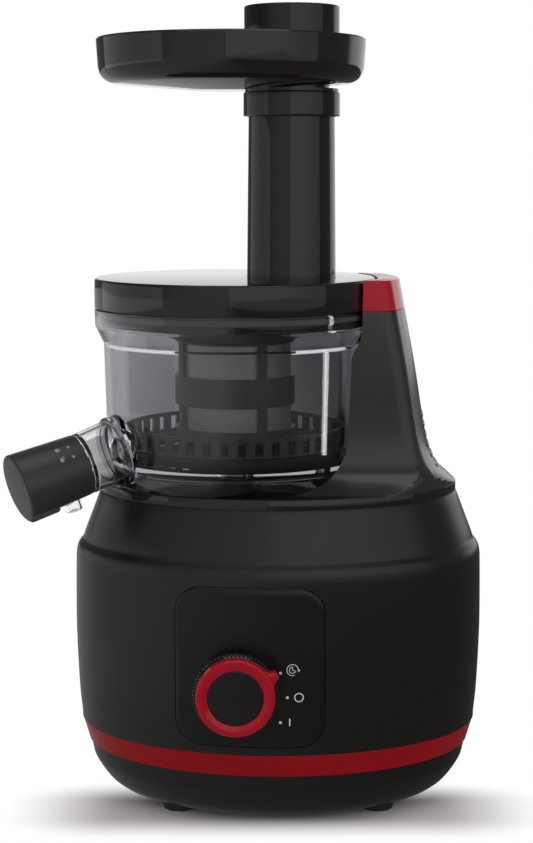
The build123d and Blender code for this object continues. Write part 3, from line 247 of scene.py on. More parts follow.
# ---------------------------------------------------------------- bottom cover
# The satin black ABS cover closes the base from below and curves in to the feet.
# It is one moulding, and screws hold it to the housing.
low, high = span("bottom_cover")
side = through([(low.z + 0.4, 84.2), (7.4, 88.2), (13.0, 92.6), (20.0, 96.3), (high.z - seam, 98.5)], 5)
rings = [oval(low.z, 83.2)] + [oval(z, reach) for z, reach in side] + [oval(high.z, 98.5 - seam)]
rings += [oval(high.z, 98.5, wall), oval(low.z + wall, 86.0, wall)]
cover = skin("bottom_cover_skin", rings)
cover.data.materials.append(satin_black)
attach(cover, "base")
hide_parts("bottom_cover")


# ---------------------------------------------------------------- feet and small base parts
# Four rubber feet are pushed into the cover; a rubber bush lines the cord's hole
# at the back, and steel screws hold the cover on.
foot_rubber = moulded("foot rubber", (0.012, 0.012, 0.012), (0.022, 0.022, 0.022), 0.7, 0.85, 1800, 0.2)


def dress(material, *names):
    """Gives CAD nodes one material."""
    for name in names:
        mesh = nodes[name].data
        mesh.materials.clear()
        mesh.materials.append(material)


def united(name, pieces):
    """One object from several, which becomes the first of them."""
    with bpy.context.temp_override(active_object=pieces[0], selected_editable_objects=pieces):
        bpy.ops.object.join()
    pieces[0].name = name
    return pieces[0]


def ring_at(radius, height, x=0.0, y=0.0, count=160):
    """Level circle round an upright axis."""
    turns = [2 * pi * k / count for k in range(count)]
    return [(x + radius * cos(turn), y + radius * sin(turn), height) for turn in turns]


def eased(corners, steps=5):
    """Profile of (radius, height, rounding) corners with each corner rounded by an arc."""
    outline = []
    for i, (r, z, ease) in enumerate(corners):
        before = Vector(corners[i - 1][:2]) - Vector((r, z))
        after = Vector(corners[(i + 1) % len(corners)][:2]) - Vector((r, z))
        if ease == 0 or before.length == 0 or after.length == 0:
            outline.append((r, z))
            continue
        half = before.angle(after) / 2
        reach = min(ease / tan(half), before.length / 2.01, after.length / 2.01)
        start = Vector((r, z)) + before.normalized() * reach
        end = Vector((r, z)) + after.normalized() * reach
        for k in range(steps + 1):
            t = k / steps
            point = start * (1 - t) ** 2 + Vector((r, z)) * 2 * t * (1 - t) + end * t ** 2
            outline.append((point.x, point.y))
    return outline


def turned(name, outline, x=0.0, y=0.0, joined=False, sharp=32.0, count=160):
    """Piece turned about an upright axis from (radius, height) points."""
    return skin(name, [ring_at(r, z, x, y, count) for r, z in outline], joined, sharp)


low, high = span("rubber_feet")
foot_radius = 8.0
foot_top = low.z + 4.6
foot_form = eased([(0, low.z, 0), (foot_radius, low.z, 1.0), (foot_radius, foot_top, 0), (0, foot_top, 0)])
feet = []
for x in (low.x + foot_radius, high.x - foot_radius):
    for y in (low.y + foot_radius, high.y - foot_radius):
        feet.append(turned("foot", foot_form, x, y, count=64))
united("rubber_feet_skin", feet)
feet[0].data.materials.append(foot_rubber)
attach(feet[0], "base")
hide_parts("rubber_feet")
dress(foot_rubber, "cord_inlet_bush", "motor_pad")


# ---------------------------------------------------------------- inside the base
# Motor, gear train, switch and board stand inside the closed base; they are
# plain bought-in parts of steel, copper, nylon and acetal.
def metal(name, dark, light, smooth, rough):
    """Bare metal with a fine, slightly uneven finish."""
    return moulded(name, dark, light, smooth, rough, 300, 0.04, {"Metallic": 1.0})


bright_steel = metal("turned steel", (0.55, 0.55, 0.54), (0.66, 0.65, 0.63), 0.18, 0.3)
sheet_steel = metal("plated sheet steel", (0.40, 0.40, 0.41), (0.5, 0.5, 0.5), 0.28, 0.42)
copper = metal("enamelled copper", (0.55, 0.22, 0.09), (0.66, 0.28, 0.13), 0.3, 0.42)
bronze = metal("sintered bronze", (0.48, 0.32, 0.15), (0.56, 0.38, 0.2), 0.35, 0.5)
acetal = moulded("white acetal", (0.68, 0.67, 0.62), (0.76, 0.75, 0.71), 0.35, 0.45)
nylon = moulded("glass filled nylon", (0.12, 0.12, 0.125), (0.17, 0.17, 0.175), 0.45, 0.6)
board_green = moulded("circuit board", (0.01, 0.09, 0.035), (0.02, 0.14, 0.05), 0.35, 0.5)
dark_part = moulded("moulded component", (0.03, 0.03, 0.032), (0.05, 0.05, 0.052), 0.4, 0.55)
dress(bright_steel, "cover_screws", "gearbox_screws", "motor_screws", "layshaft_pin", "drive_shaft",
      "motor_shaft", "knob_shaft", "idler_pin", "auger_pin", "lid_magnet")
dress(sheet_steel, "motor_case", "motor_cover", "motor_stator", "motor_rotor")
dress(copper, "motor_coils")
dress(bronze, "drive_bushes", "motor_bearings")
dress(acetal, "drive_gear")
dress(nylon, "compound_gear", "auger_gear", "brush_idler", "gearbox_housing", "gearbox_cover")
dress(board_green, "circuit_board")
dress(dark_part, "board_components", "rotary_switch", "lid_sensor", "motor_fan")


# ---------------------------------------------------------------- control panel
# The panel is a rounded square pad of black ABS, let into a narrow groove in the
# housing's front. It stands a little proud, and a shallow round seat takes the knob.
panel_low, panel_high = span("control_panel")
panel_x = (panel_low.x + panel_high.x) / 2
panel_z = (panel_low.z + panel_high.z) / 2
panel_half = Vector((36.15, 39.4))
panel_corner = 12.5
panel_proud = 1.05
panel_edge = 2.6
knob_low, knob_high = span("knob_insert")
knob_x = (knob_low.x + knob_high.x) / 2
knob_z = (knob_low.z + knob_high.z) / 2
seat_y = span("knob_body")[1].y - 0.3
seat_radius = 21.8
seat_slope = 2.2
front_curve = through([(38.2, 101.7)] + belly_points + [(130.0, 102.0)], 8)


def value_at(curve, z):
    """Value of a curve of (height, value) points at a height."""
    for (za, a), (zb, b) in zip(curve, curve[1:]):
        if z <= zb:
            return a + (b - a) * (z - za) / (zb - za)
    return curve[-1][1]


def front_y(x, z):
    """Depth of the housing's front surface at a place seen from the front."""
    reach = value_at(front_curve, z)
    return -reach * oval_ratio * sqrt(max(0.0, 1 - (x / reach) ** 2))


def panel_y(x, z):
    """Depth of the panel's face, flattened where the knob sits."""
    face = front_y(x, z) - panel_proud
    away = hypot(x - knob_x, z - knob_z)
    share = min(1.0, max(0.0, (away - seat_radius) / seat_slope))
    share = share * share * (3 - 2 * share)
    return (seat_y + (face - seat_y) * share) if face < seat_y else face


def rounded_square(half, corner, count=24, along=22):
    """Points of a rounded square, spread over its corners and its sides."""
    corners = []
    for quarter in range(4):
        sx = (1, -1, -1, 1)[quarter]
        sy = (1, 1, -1, -1)[quarter]
        for k in range(count):
            turn = (quarter + k / (count - 1)) * pi / 2
            across = sx * (half.x - corner) + corner * cos(turn)
            corners.append((across, sy * (half.y - corner) + corner * sin(turn)))
    points = []
    for i, (x, y) in enumerate(corners):
        points.append((x, y))
        if i % count == count - 1:
            next_x, next_y = corners[(i + 1) % len(corners)]
            points += [(x + (next_x - x) * k / along, y + (next_y - y) * k / along) for k in range(1, along)]
    return points


def cut(piece, tool, way):
    """Joins a tool to a piece or takes it away, and drops the tool."""
    change = piece.modifiers.new("cut", "BOOLEAN")
    change.operation = way
    change.solver = "EXACT"
    change.object = tool
    bpy.context.view_layer.update()
    depth = bpy.context.evaluated_depsgraph_get()
    made = bpy.data.meshes.new_from_object(piece.evaluated_get(depth))
    piece.modifiers.clear()
    piece.data = made
    bpy.data.objects.remove(tool)


def smoothed(piece, sharp, material):
    """Marks a cut piece's sharp edges anew and gives it one material."""
    piece.data.set_sharp_from_angle(angle=radians(sharp))
    piece.data.materials.clear()
    piece.data.materials.append(material)


def panel_rim(draw, out):
    """Ring along the panel's edge, drawn in by draw and out in front of the housing."""
    rim = rounded_square(panel_half - Vector((draw, draw)), panel_corner - draw)
    return [(panel_x + x, front_y(panel_x + x, panel_z + z) - out, panel_z + z) for x, z in rim]


groove = ((-0.25, 3.0), (-0.25, -0.7), (0.8, -0.7), (0.8, 3.0))
groove_tool = skin("panel_groove", [panel_rim(draw, out) for draw, out in groove], joined=True)
cut(main_housing, groove_tool, "DIFFERENCE")
smoothed(main_housing, 40, satin_black)
panel_black = moulded("panel black ABS", (0.0075, 0.0075, 0.0072), (0.0095, 0.0095, 0.009), 0.3, 0.35, 1200,
                      0.03, {"Specular IOR Level": 0.35})
edge = ((0.0, -1.2), (0.0, 0.0), (0.2, 0.36), (0.55, 0.62), (1.1, 0.84), (1.8, 0.99),
        (panel_edge, panel_proud))
rings = [panel_rim(draw, out) for draw, out in edge]
inner = rounded_square(panel_half - Vector((panel_edge, panel_edge)), panel_corner - panel_edge)
steps = 26
for i in range(1, steps):
    share = 1 - i / steps
    ring = [(panel_x + x * share, panel_z + z * share) for x, z in inner]
    rings.append([(x, panel_y(x, z), z) for x, z in ring])
panel = skin("control_panel_skin", rings, sharp=50)
panel.data.materials.append(panel_black)
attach(panel, "base")
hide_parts("control_panel")


# ---------------------------------------------------------------- panel marks
# Pad-printed pale grey marks beside the knob: a pulse sign, the ring for off,
# the bar for on, and three dots that the pointer turns to.
print_grey = moulded("pale grey print", (0.84, 0.84, 0.84), (0.90, 0.90, 0.90), 0.4, 0.5, 1500, 0.03)
ink = 0.06


def on_panel(points):
    """Flat outline laid on the panel's face, just proud of it."""
    return [(x, panel_y(x, z) - ink, z) for x, z in points]


def printed(name, outlines, place=on_panel):
    """Thin printed mark of one or more strips, each a list of (left, right) point pairs."""
    corners = []
    faces = []
    for strip in outlines:
        start = len(corners)
        for pair in strip:
            corners += place(pair)
        for i in range(len(strip) - 1):
            a = start + 2 * i
            faces.append((a, a + 1, a + 3, a + 2))
    return added(name, mesh_of(name, corners, faces))


def arc_strip(x, z, radius, width, start, end, count=40):
    """Strip along an arc, in degrees anticlockwise from the right."""
    strip = []
    edges = (radius - width / 2, radius + width / 2)
    for k in range(count + 1):
        turn = radians(start + (end - start) * k / count)
        strip.append([(x + r * cos(turn), z + r * sin(turn)) for r in edges])
    return strip


def bar_strip(x0, z0, x1, z1, width):
    """Straight strip between two points."""
    way = Vector((x1 - x0, z1 - z0)).normalized() * width / 2
    return [[(x - way.y, z + way.x), (x + way.y, z - way.x)] for x, z in ((x0, z0), (x1, z1))]


dots = [(0.7, 80.5), (4.0, 68.3), (0.7, 55.8)]
marks = [arc_strip(x, z, 0.36, 0.72, 0, 360, 20) for x, z in dots]
marks.append(arc_strip(9.6, 68.3, 2.05, 0.55, 0, 360))
marks.append(bar_strip(5.2, 54.0, 5.2, 57.8, 0.62))
x, z = 6.5, 82.0
marks.append(arc_strip(x, z, 2.75, 0.36, 0, 290))
marks.append([[(x + 2.3, z + 0.3), (x + 2.3, z + 0.3)], [(x + 3.1, z - 1.1), (x + 3.7, z + 0.1)]])
marks.append(arc_strip(x, z, 1.55, 0.34, 95, 350))
marks.append(bar_strip(x, z, x, z + 1.6, 0.36))
marks.append(bar_strip(x, z, x + 0.9, z - 0.3, 0.36))
signs = printed("panel_marks", marks)
signs.data.materials.append(print_grey)
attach(signs, "base")


# ---------------------------------------------------------------- knob
# A black ABS skirt with fine ribs carries a red ring with a pointer nub and a black
# insert of the same plastic. The skirt is clipped on the switch's shaft.
half_gloss = moulded("semi gloss black ABS", (0.0085, 0.0082, 0.0078), (0.0115, 0.011, 0.0105), 0.12, 0.17,
                     900, 0.02)
body_low, body_high = span("knob_body")
skirt_radius = (body_high.x - body_low.x) / 2
front_radius = skirt_radius - 0.5
back_radius = skirt_radius - 1.5
skirt_depth = 11.0
ring_radius = 18.9
ring_bore = 13.4
ring_crest = 15.9
ring_depth = 4.2
pointer_reach = 22.8
pointer_turn = radians(30.0)
rib_count = 64
rib_radius = 0.6
rib_inset = 0.45


def facing_ring(radius, out, count=160):
    """Ring round the knob's axis, out in front of the knob's seat."""
    ring = []
    for k in range(count):
        turn = 2 * pi * k / count
        ring.append((knob_x + radius * cos(turn), body_high.y - out, knob_z + radius * sin(turn)))
    return ring


def faced(name, outline, joined=False, sharp=32.0):
    """Piece turned about the knob's axis from (radius, distance out) points."""
    return skin(name, [facing_ring(r, out) for r, out in outline], joined, sharp)


skirt_form = [(0, 0, 0), (back_radius - 0.35, 0, 0.2), (front_radius - 0.35, skirt_depth - 1.2, 0.8),
              (front_radius - 1.5, skirt_depth, 0.5), (0, skirt_depth, 0)]
skirt = faced("knob_skirt", eased(skirt_form))


def number_of(tree, operation, *values):
    """Result of a sum on numbers."""
    return output_of(tree, "ShaderNodeMath", dict(enumerate(values)), operation=operation)


def group_of(name, **sizes):
    """New Geometry Nodes group, the identifiers of its sizes, and the sockets that give them."""
    group = bpy.data.node_groups.new(name, "GeometryNodeTree")
    found = {}
    for label, kind in sizes.items():
        socket = group.interface.new_socket(label, in_out="INPUT", socket_type="NodeSocket" + kind)
        found[label] = socket.identifier
    group.interface.new_socket("Geometry", in_out="OUTPUT", socket_type="NodeSocketGeometry")
    return group, found, group.nodes.new("NodeGroupInput").outputs


def set_on_points(group, points, instance, rotation, material):
    """Ends a group: an instance on each point, made real and given the material."""
    copies = output_of(group, "GeometryNodeInstanceOnPoints", {
        "Points": points, "Instance": instance, "Rotation": rotation})
    real = output_of(group, "GeometryNodeRealizeInstances", {0: copies})
    paint = output_of(group, "GeometryNodeSetMaterial", {"Geometry": real, "Material": material})
    node_of(group, "NodeGroupOutput", {0: paint})


def outward_turn(group, here):
    """Rotation that turns an instance's X side away from the axis."""
    return output_of(group, "FunctionNodeAlignRotationToVector", {"Vector": here}, axis="X", pivot_axis="Z")


def rib_group():
    """Geometry Nodes: upright ribs set round a cone that faces the front."""
    group, sizes, given = group_of("ribs round a cone", Count="Int", Low="Float", High="Float",
                                   Length="Float", Rib="Float", Material="Material")
    circle = output_of(group, "GeometryNodeMeshCircle", {"Vertices": given["Count"], "Radius": 1.0})
    here = output_of(group, "GeometryNodeInputPosition")
    mean = number_of(group, "MULTIPLY", number_of(group, "ADD", given["Low"], given["High"]), 0.5)
    place = output_of(group, "ShaderNodeVectorMath", {0: here, "Scale": mean}, operation="SCALE")
    points = output_of(group, "GeometryNodeSetPosition", {"Geometry": circle, "Position": place})
    rib = output_of(group, "GeometryNodeMeshCylinder", {
        "Vertices": 10, "Radius": given["Rib"], "Depth": given["Length"]})
    slope = number_of(group, "SUBTRACT", given["Low"], given["High"])
    lean = number_of(group, "ARCTAN2", slope, given["Length"])
    tilt = output_of(group, "ShaderNodeCombineXYZ", {"Y": number_of(group, "MULTIPLY", lean, -1.0)})
    turn = output_of(group, "FunctionNodeRotateRotation", {0: outward_turn(group, here), 1: tilt},
                     rotation_space="LOCAL")
    set_on_points(group, points, rib, turn, given["Material"])
    return group, sizes


def grown(name, group, sizes, values):
    """Mesh object that a Geometry Nodes group makes from its named sizes."""
    seed = added(name + "_seed", bpy.data.meshes.new(name + "_seed"))
    change = seed.modifiers.new("form", "NODES")
    change.node_group = group
    for label, value in values.items():
        change[sizes[label]] = value
    seed.update_tag()
    bpy.context.view_layer.update()
    depth = bpy.context.evaluated_depsgraph_get()
    mesh = bpy.data.meshes.new_from_object(seed.evaluated_get(depth))
    bpy.data.objects.remove(seed)
    return added(name, mesh)


ribs_round_a_cone, rib_sizes = rib_group()
ribs = grown("knob_ribs", ribs_round_a_cone, rib_sizes, {
    "Count": rib_count, "Low": (back_radius - rib_inset) / 1000, "High": (front_radius - rib_inset) / 1000,
    "Length": (skirt_depth - 1.6) / 1000, "Rib": rib_radius / 1000, "Material": half_gloss})
ribs_at = at(knob_x, body_high.y - skirt_depth / 2 - 0.4, knob_z)
ribs.data.transform(Matrix.Translation(ribs_at) @ Matrix.Rotation(pi / 2, 4, "X"))
ribs.data.shade_smooth()
skirt.data.materials.append(half_gloss)
for piece in (skirt, ribs):
    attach(piece, "knob")
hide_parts("knob_body")

knob_red = moulded("knob red", (0.44, 0.0010, 0.014), (0.50, 0.002, 0.018), 0.12, 0.17, 700, 0.02,
                   {"Specular IOR Level": 0.4})
face = skirt_depth + ring_depth
ring_form = [(ring_bore, skirt_depth, 0), (ring_radius, skirt_depth, 0), (ring_radius, face, 1.3),
             (ring_crest, face, 0.3), (ring_bore, face - 0.8, 0.3)]
red_ring = faced("knob_ring_skin", eased(ring_form), joined=True)
nub = [(ring_radius - 2.2, 6.4), (ring_radius - 0.1, 4.4), (ring_radius + 0.9, 3.0),
       (ring_radius + 2.0, 2.5), (pointer_reach - 0.7, 2.25), (pointer_reach - 0.15, 1.8),
       (pointer_reach, 0.9)]
nub += [(r, -side) for r, side in reversed(nub)]


def nub_ring(shrink, out):
    """Outline of the pointer nub at a distance out, drawn in by shrink."""
    ring = []
    for r, side in nub:
        r = r - shrink if r > ring_radius else r
        side = side - shrink if side > 0 else side + shrink
        x = knob_x + r * cos(pointer_turn) - side * sin(pointer_turn)
        ring.append((x, body_high.y - out, knob_z + r * sin(pointer_turn) + side * cos(pointer_turn)))
    return ring


pointer_form = ((0, skirt_depth), (0, face - 1.3), (0.12, face - 0.9), (0.45, face - 0.65))
pointer = skin("knob_pointer", [nub_ring(shrink, out) for shrink, out in pointer_form])
for piece in (red_ring, pointer):
    piece.data.materials.append(knob_red)
    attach(piece, "knob")
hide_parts("knob_ring")
insert_back = skirt_depth - 0.5
insert_form = [(0, insert_back, 0), (ring_bore, insert_back, 0), (ring_bore, face - 1.0, 0.6),
               (0, face - 1.0, 0)]
insert = faced("knob_insert_skin", eased(insert_form))
insert.data.materials.append(half_gloss)
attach(insert, "knob")
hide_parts("knob_insert")


# ---------------------------------------------------------------- deck
# The glossy black ABS deck closes the housing on top. It has a shallow well for the
# bowl's foot, and the drive shaft stands in the well's middle.
deck_low, deck_high = span("deck")
lid_low, lid_high = span("lid")
bowl_x = (lid_low.x + lid_high.x) / 2
deck_reach = deck_high.x
deck_foot = housing_top
well_radius = 57.9
shaft_radius = 6.6
edge = ((deck_foot, 3.2), (deck_foot, 0.15), (deck_foot + 0.15, 0.0), (deck_high.z - 0.8, 0.0),
        (deck_high.z - 0.35, 0.12), (deck_high.z - 0.1, 0.4), (deck_high.z, 0.9))
rings = [oval(height, deck_reach, draw) for height, draw in edge]
well = deck_high.z - 6.9
well_form = ((well_radius + 0.4, deck_high.z), (well_radius, deck_high.z - 0.4), (well_radius, well + 1.0),
             (well_radius - 1.0, well), (shaft_radius, well), (shaft_radius, deck_low.z + 0.5))
rings += [ring_at(radius, height, bowl_x, 0.0, 288) for radius, height in well_form]
gloss_black = moulded("polished black ABS", (0.012, 0.0116, 0.011), (0.015, 0.0145, 0.014), 0.035, 0.06,
                      500, 0.01)
deck = skin("deck_skin", rings, sharp=35)
deck.data.materials.append(gloss_black)
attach(deck, "base")
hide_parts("deck")


# ---------------------------------------------------------------- tower
# The tower rises from the deck behind and beside the bowl, flared at its foot
# and hollowed to the bowl's round. It is one glossy black ABS moulding.
cap_low, cap_high = span("tower_cap")
tower_corner = 9.5
tower_bow = 5.0
tower_lean = radians(12)
flat_steps = 12
corner_steps = 14
side_steps = 40
hollow_steps = 48
levels = [(deck_high.z - 4.0, 93.0, 63.0), (deck_high.z, 89.8, 54.0), (deck_high.z + 3.0, 86.6, 47.0),
          (deck_high.z + 7.0, 82.4, 41.5), (deck_high.z + 12.0, 79.2, 38.2),
          (deck_high.z + 20.0, 76.2, 36.6), (deck_high.z + 34.0, 73.4, 35.9),
          (deck_high.z + 58.0, 69.5, 35.8), (cap_low.z, 64.3, 35.6), (cap_high.z + 12.0, 59.0, 34.6)]
right_curve = through([(z, right) for z, right, depth in levels], 5)
depth_curve = through([(z, depth) for z, right, depth in levels], 5)
recess = [(0.0, 61.5), (deck_high.z + 0.4, 61.5), (182.0, 66.5), (229.0, 67.9), (237.7, 72.3), (400.0, 72.3)]


def tower_ring(z, draw=0.0):
    """Level outline of the tower: flat front and back, bowed right side, hollow left side."""
    right = value_at(right_curve, z) - draw
    depth = value_at(depth_curve, z) - draw
    hollow = value_at(recess, z) + draw
    left = bowl_x + sqrt(hollow ** 2 - depth ** 2)
    turn_x = right - tower_bow - tower_corner
    turn_y = depth - tower_corner
    sweep = pi / 2 - tower_lean
    ring = [(left + (turn_x - left) * k / flat_steps, -depth) for k in range(flat_steps)]
    for k in range(corner_steps):
        turn = -pi / 2 + sweep * k / corner_steps
        ring.append((turn_x + tower_corner * cos(turn), -turn_y + tower_corner * sin(turn)))
    side_x = turn_x + tower_corner * cos(tower_lean)
    side_y = turn_y + tower_corner * sin(tower_lean)
    for k in range(side_steps + 1):
        share = 2 * k / side_steps - 1
        ring.append((side_x + (right - side_x) * (1 - share ** 2), side_y * share))
    for k in range(1, corner_steps + 1):
        turn = tower_lean + sweep * k / corner_steps
        ring.append((turn_x + tower_corner * cos(turn), turn_y + tower_corner * sin(turn)))
    ring += [(turn_x + (left - turn_x) * k / flat_steps, depth) for k in range(1, flat_steps)]
    half_sweep = asin(depth / hollow)
    for k in range(hollow_steps):
        turn = half_sweep - 2 * half_sweep * k / hollow_steps
        ring.append((bowl_x + hollow * cos(turn), hollow * sin(turn)))
    limit = deck_reach - draw
    kept = []
    for x, y in ring:
        over = max(1.0, hypot(x / limit, y / (limit * oval_ratio)))
        kept.append((x / over, y / over, z))
    return kept


heights = [deck_high.z - 0.5, deck_high.z + 0.6, deck_high.z + 1.8, deck_high.z + 3.2, deck_high.z + 5.0]
heights += [deck_high.z + 7.0 + 2.0 * k for k in range(7)]
cap_seam = cap_low.z + 2.4
heights += [deck_high.z + 22.0 + (cap_seam - deck_high.z - 24.0) * k / 15 for k in range(16)]
rings = [tower_ring(z) for z in heights] + [tower_ring(cap_seam - 0.3), tower_ring(cap_seam - 0.05, 0.2)]
tower = skin("tower_skin", rings, sharp=30)
tower_black = moulded("tower black ABS", (0.030, 0.030, 0.0285), (0.036, 0.036, 0.0345), 0.2, 0.26, 900,
                      0.03)
tower.data.materials.append(tower_black)
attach(tower, "base")
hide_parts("tower")


# ---------------------------------------------------------------- tower cap
# A red ABS cap is snapped on the tower and closes it level with the lid; two small
# marks printed on its top show where the lid lines up.
cap_top = cap_high.z + 0.7
rings = [tower_ring(cap_seam, 0.25), tower_ring(cap_seam + 0.25)]
rings += [tower_ring(cap_seam + 0.25 + (cap_top - 1.2 - cap_seam) * k / 5) for k in range(1, 6)]
rings += [tower_ring(cap_top - 0.55, 0.15), tower_ring(cap_top - 0.2, 0.45), tower_ring(cap_top, 1.0)]
red_cap = skin("tower_cap_skin", rings, sharp=40)
cap_red = moulded("tower cap red", (0.46, 0.010, 0.024), (0.52, 0.012, 0.028), 0.14, 0.19, 700, 0.02,
                  {"Specular IOR Level": 0.25})
red_cap.data.materials.append(cap_red)
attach(red_cap, "base")
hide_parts("tower_cap")


def on_top(points):
    """Flat outline laid on the cap's top."""
    return [(x, y, cap_top + 0.05) for x, y in points]


line_up = [bar_strip(52.6, -26.4, 55.2, -26.4, 0.9), bar_strip(53.9, -23.0, 55.6, -21.2, 0.9)]
cap_marks = printed("tower_cap_marks", line_up, on_top)
cap_marks.data.materials.append(print_grey)
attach(cap_marks, "base")


# ---------------------------------------------------------------- vent
# Six louvres on the tower's right side let the motor's air out; they are thin
# bars of black ABS, moulded to follow the wall.
vent_low, vent_high = span("vent_grille")
louvres = 6
pitch = (vent_high.z - vent_low.z) / louvres
vent_half = (vent_high.y - vent_low.y) / 2
bow_inset = 7.5
bar_share = 0.36


def wall_row(z, out):
    """Points of the tower's right wall across the vent, moved outwards."""
    right = value_at(right_curve, z)
    bowed_half = value_at(depth_curve, z) - bow_inset
    row = []
    for k in range(flat_steps + 1):
        y = -vent_half + 2 * vent_half * k / flat_steps
        row.append((right - tower_bow * (y / bowed_half) ** 2 + out, y, z))
    return row


def louvre(low_z):
    """Thin bar along the wall, with eased front edges."""
    high_z = low_z + pitch * bar_share
    form = ((low_z, -1.5), (low_z, 0.25), (low_z + 0.2, 0.4), (high_z - 0.2, 0.4), (high_z, 0.25),
            (high_z, -1.5))
    rows = [wall_row(z, out) for z, out in form]
    return skin("louvre", list(zip(*rows)), sharp=35)


vent = united("vent_louvres", [louvre(vent_low.z + pitch * i) for i in range(louvres)])
vent.data.materials.append(satin_black)
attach(vent, "base")
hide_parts("vent_grille")


# ---------------------------------------------------------------- bowl
# The bowl is injection moulded in clear smoked copolyester: a round foot, a belly
# with a ledge and a wider collar for the lid, with a boss for the spout.
def shader_between(tree, share, first, second):
    """Shader between two shaders."""
    return output_of(tree, "ShaderNodeMixShader", {"Fac": share, 1: first, 2: second})


def clear_plastic(name, tint, lighter, shade):
    """Clear plastic, tinted through its thickness, that lets tinted light through to what is inside."""
    clear_inputs = {"Transmission Weight": 1.0, "IOR": 1.46}
    material = moulded(name, tint, lighter, 0.01, 0.03, 200, 0.01, clear_inputs)
    tree = material.node_tree
    shadow = node_of(tree, "ShaderNodeLightPath").outputs["Is Shadow Ray"]
    pass_on = output_of(tree, "ShaderNodeBsdfTransparent", {"Color": (*shade, 1)})
    surface = shader_between(tree, shadow, tree.nodes["Principled BSDF"].outputs[0], pass_on)
    feed(tree, tree.nodes["Material Output"], {"Surface": surface})
    return material


smoke = clear_plastic("smoked clear plastic", (0.82, 0.805, 0.84), (0.85, 0.835, 0.87), (0.88, 0.87, 0.89))
tree = smoke.node_tree
place = node_of(tree, "ShaderNodeTexCoord").outputs["Object"]
height = node_of(tree, "ShaderNodeSeparateXYZ", {0: place}).outputs["Z"]
# Painted shade: the bowl's smoked plastic is painted darker towards its foot, in place of the dark deck seen
# through the wall.
painted_shade_top = 183.5
painted_shade_foot = 177.5
painted_shade_low = ramp_of(tree, height, painted_shade_top / 1000, painted_shade_foot / 1000, kind="SMOOTHSTEP")
painted_shade_tint = blend_of(tree, painted_shade_low, tree.nodes["Mix"].outputs["Result"], (0.40, 0.39, 0.42, 1))
feed(tree, tree.nodes["Principled BSDF"], {"Base Color": painted_shade_tint})
foot_z = span("shaft_seal")[0].z - 6.0
rim_z = lid_low.z + 8.2 - 0.3
collar_radius = (lid_high.x - lid_low.x) / 2
floor_z = foot_z + 17.0
shell = 2.6
outer = [(57.5, foot_z, 0.8), (57.5, foot_z + 3.6, 1.0), (60.4, foot_z + 3.9, 1.2),
         (63.7, foot_z + 14.0, 14.0), (65.2, foot_z + 24.0, 6.0), (66.5, rim_z - 17.6, 5.0),
         (collar_radius - 0.2, rim_z - 8.7, 3.0), (collar_radius, rim_z, 0.5)]
inside = [(collar_radius - shell, rim_z, 0.5), (collar_radius - shell, rim_z - 8.2, 3.0),
          (66.5 - shell, rim_z - 16.4, 5.0), (65.2 - shell, foot_z + 24.0, 6.0), (61.6, floor_z, 2.0),
          (7.0, floor_z, 0.4), (7.0, foot_z, 0.4), (9.5, foot_z, 0.4), (9.5, floor_z - 2.5, 1.0),
          (60.0, floor_z - 2.5, 2.0), (54.9, foot_z + 3.6, 1.0), (54.9, foot_z, 0.5)]
bowl = turned("bowl_skin", eased(outer + inside, 6), bowl_x, 0.0, joined=True, sharp=45, count=256)

spout_yaw = radians(27.0)
spout_pitch = radians(15.8)
spout_out = 65.0
spout_root = Vector((bowl_x - spout_out * cos(spout_yaw), -spout_out * sin(spout_yaw), foot_z + 23.5))
spout_level = cos(spout_pitch)
spout_way = Vector((-cos(spout_yaw) * spout_level, -sin(spout_yaw) * spout_level, -sin(spout_pitch)))
spout_side = Vector((sin(spout_yaw), -cos(spout_yaw), 0.0))
spout_up = spout_way.cross(spout_side)


def spout_point(radius, turn, along):
    """Point round the spout's axis; the turn starts at its upper side and runs towards the front."""
    place = spout_root + spout_way * along + spout_up * (radius * cos(turn))
    return tuple(place + spout_side * (radius * sin(turn)))


def spout_rings(name, outline, joined=False, sharp=32.0, count=128):
    """Piece turned about the spout's axis from (radius, distance along) points."""
    rings = [[spout_point(r, 2 * pi * k / count, along) for k in range(count)] for r, along in outline]
    return skin(name, rings, joined, sharp)


boss = spout_rings("boss", [(0, -9.0), (17.6, -9.0), (17.6, -0.03), (0, -0.03)])
hollow_form = [(0, floor_z - 1.2), (62.6, floor_z - 1.2), (63.6, foot_z + 24.0), (64.9, rim_z - 17.0),
               (0, rim_z - 17.0)]
cut(boss, turned("hollow", hollow_form, bowl_x, count=256), "DIFFERENCE")
cut(bowl, boss, "UNION")
inlet = spout_rings("inlet", [(0, -20.0), (6.6, -20.0), (6.6, 8.0), (0, 8.0)])
cut(bowl, inlet, "DIFFERENCE")
smoothed(bowl, 40, smoke)
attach(bowl, "bowl")
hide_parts("bowl_shell", "spout_boss")


# ---------------------------------------------------------------- pulp duct
# A short square duct under the bowl's floor leads the pulp out at the back; it
# is moulded in the same smoked plastic.
duct_half = 14.0
duct_top = floor_z - 2.6
duct_floor = deck_high.z + 0.4
back = span("pulp_duct")[1].y


def duct_ring(draw, y):
    """Square ring of the duct at a depth, drawn in by draw and a little less at its top."""
    half = duct_half - draw
    low_z = duct_floor + draw
    high_z = duct_top - min(draw, 1.6)
    left = bowl_x - half
    right = bowl_x + half
    return [(left, y, low_z), (right, y, low_z), (right, y, high_z), (left, y, high_z)]


front = 60.6
duct_form = ((0.0, front), (0.0, back - 0.4), (0.4, back), (1.9, back), (1.9, front))
duct = skin("pulp_duct", [duct_ring(draw, y) for draw, y in duct_form], joined=True, sharp=20)
duct.data.materials.append(smoke)
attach(duct, "bowl")
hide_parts("pulp_duct")


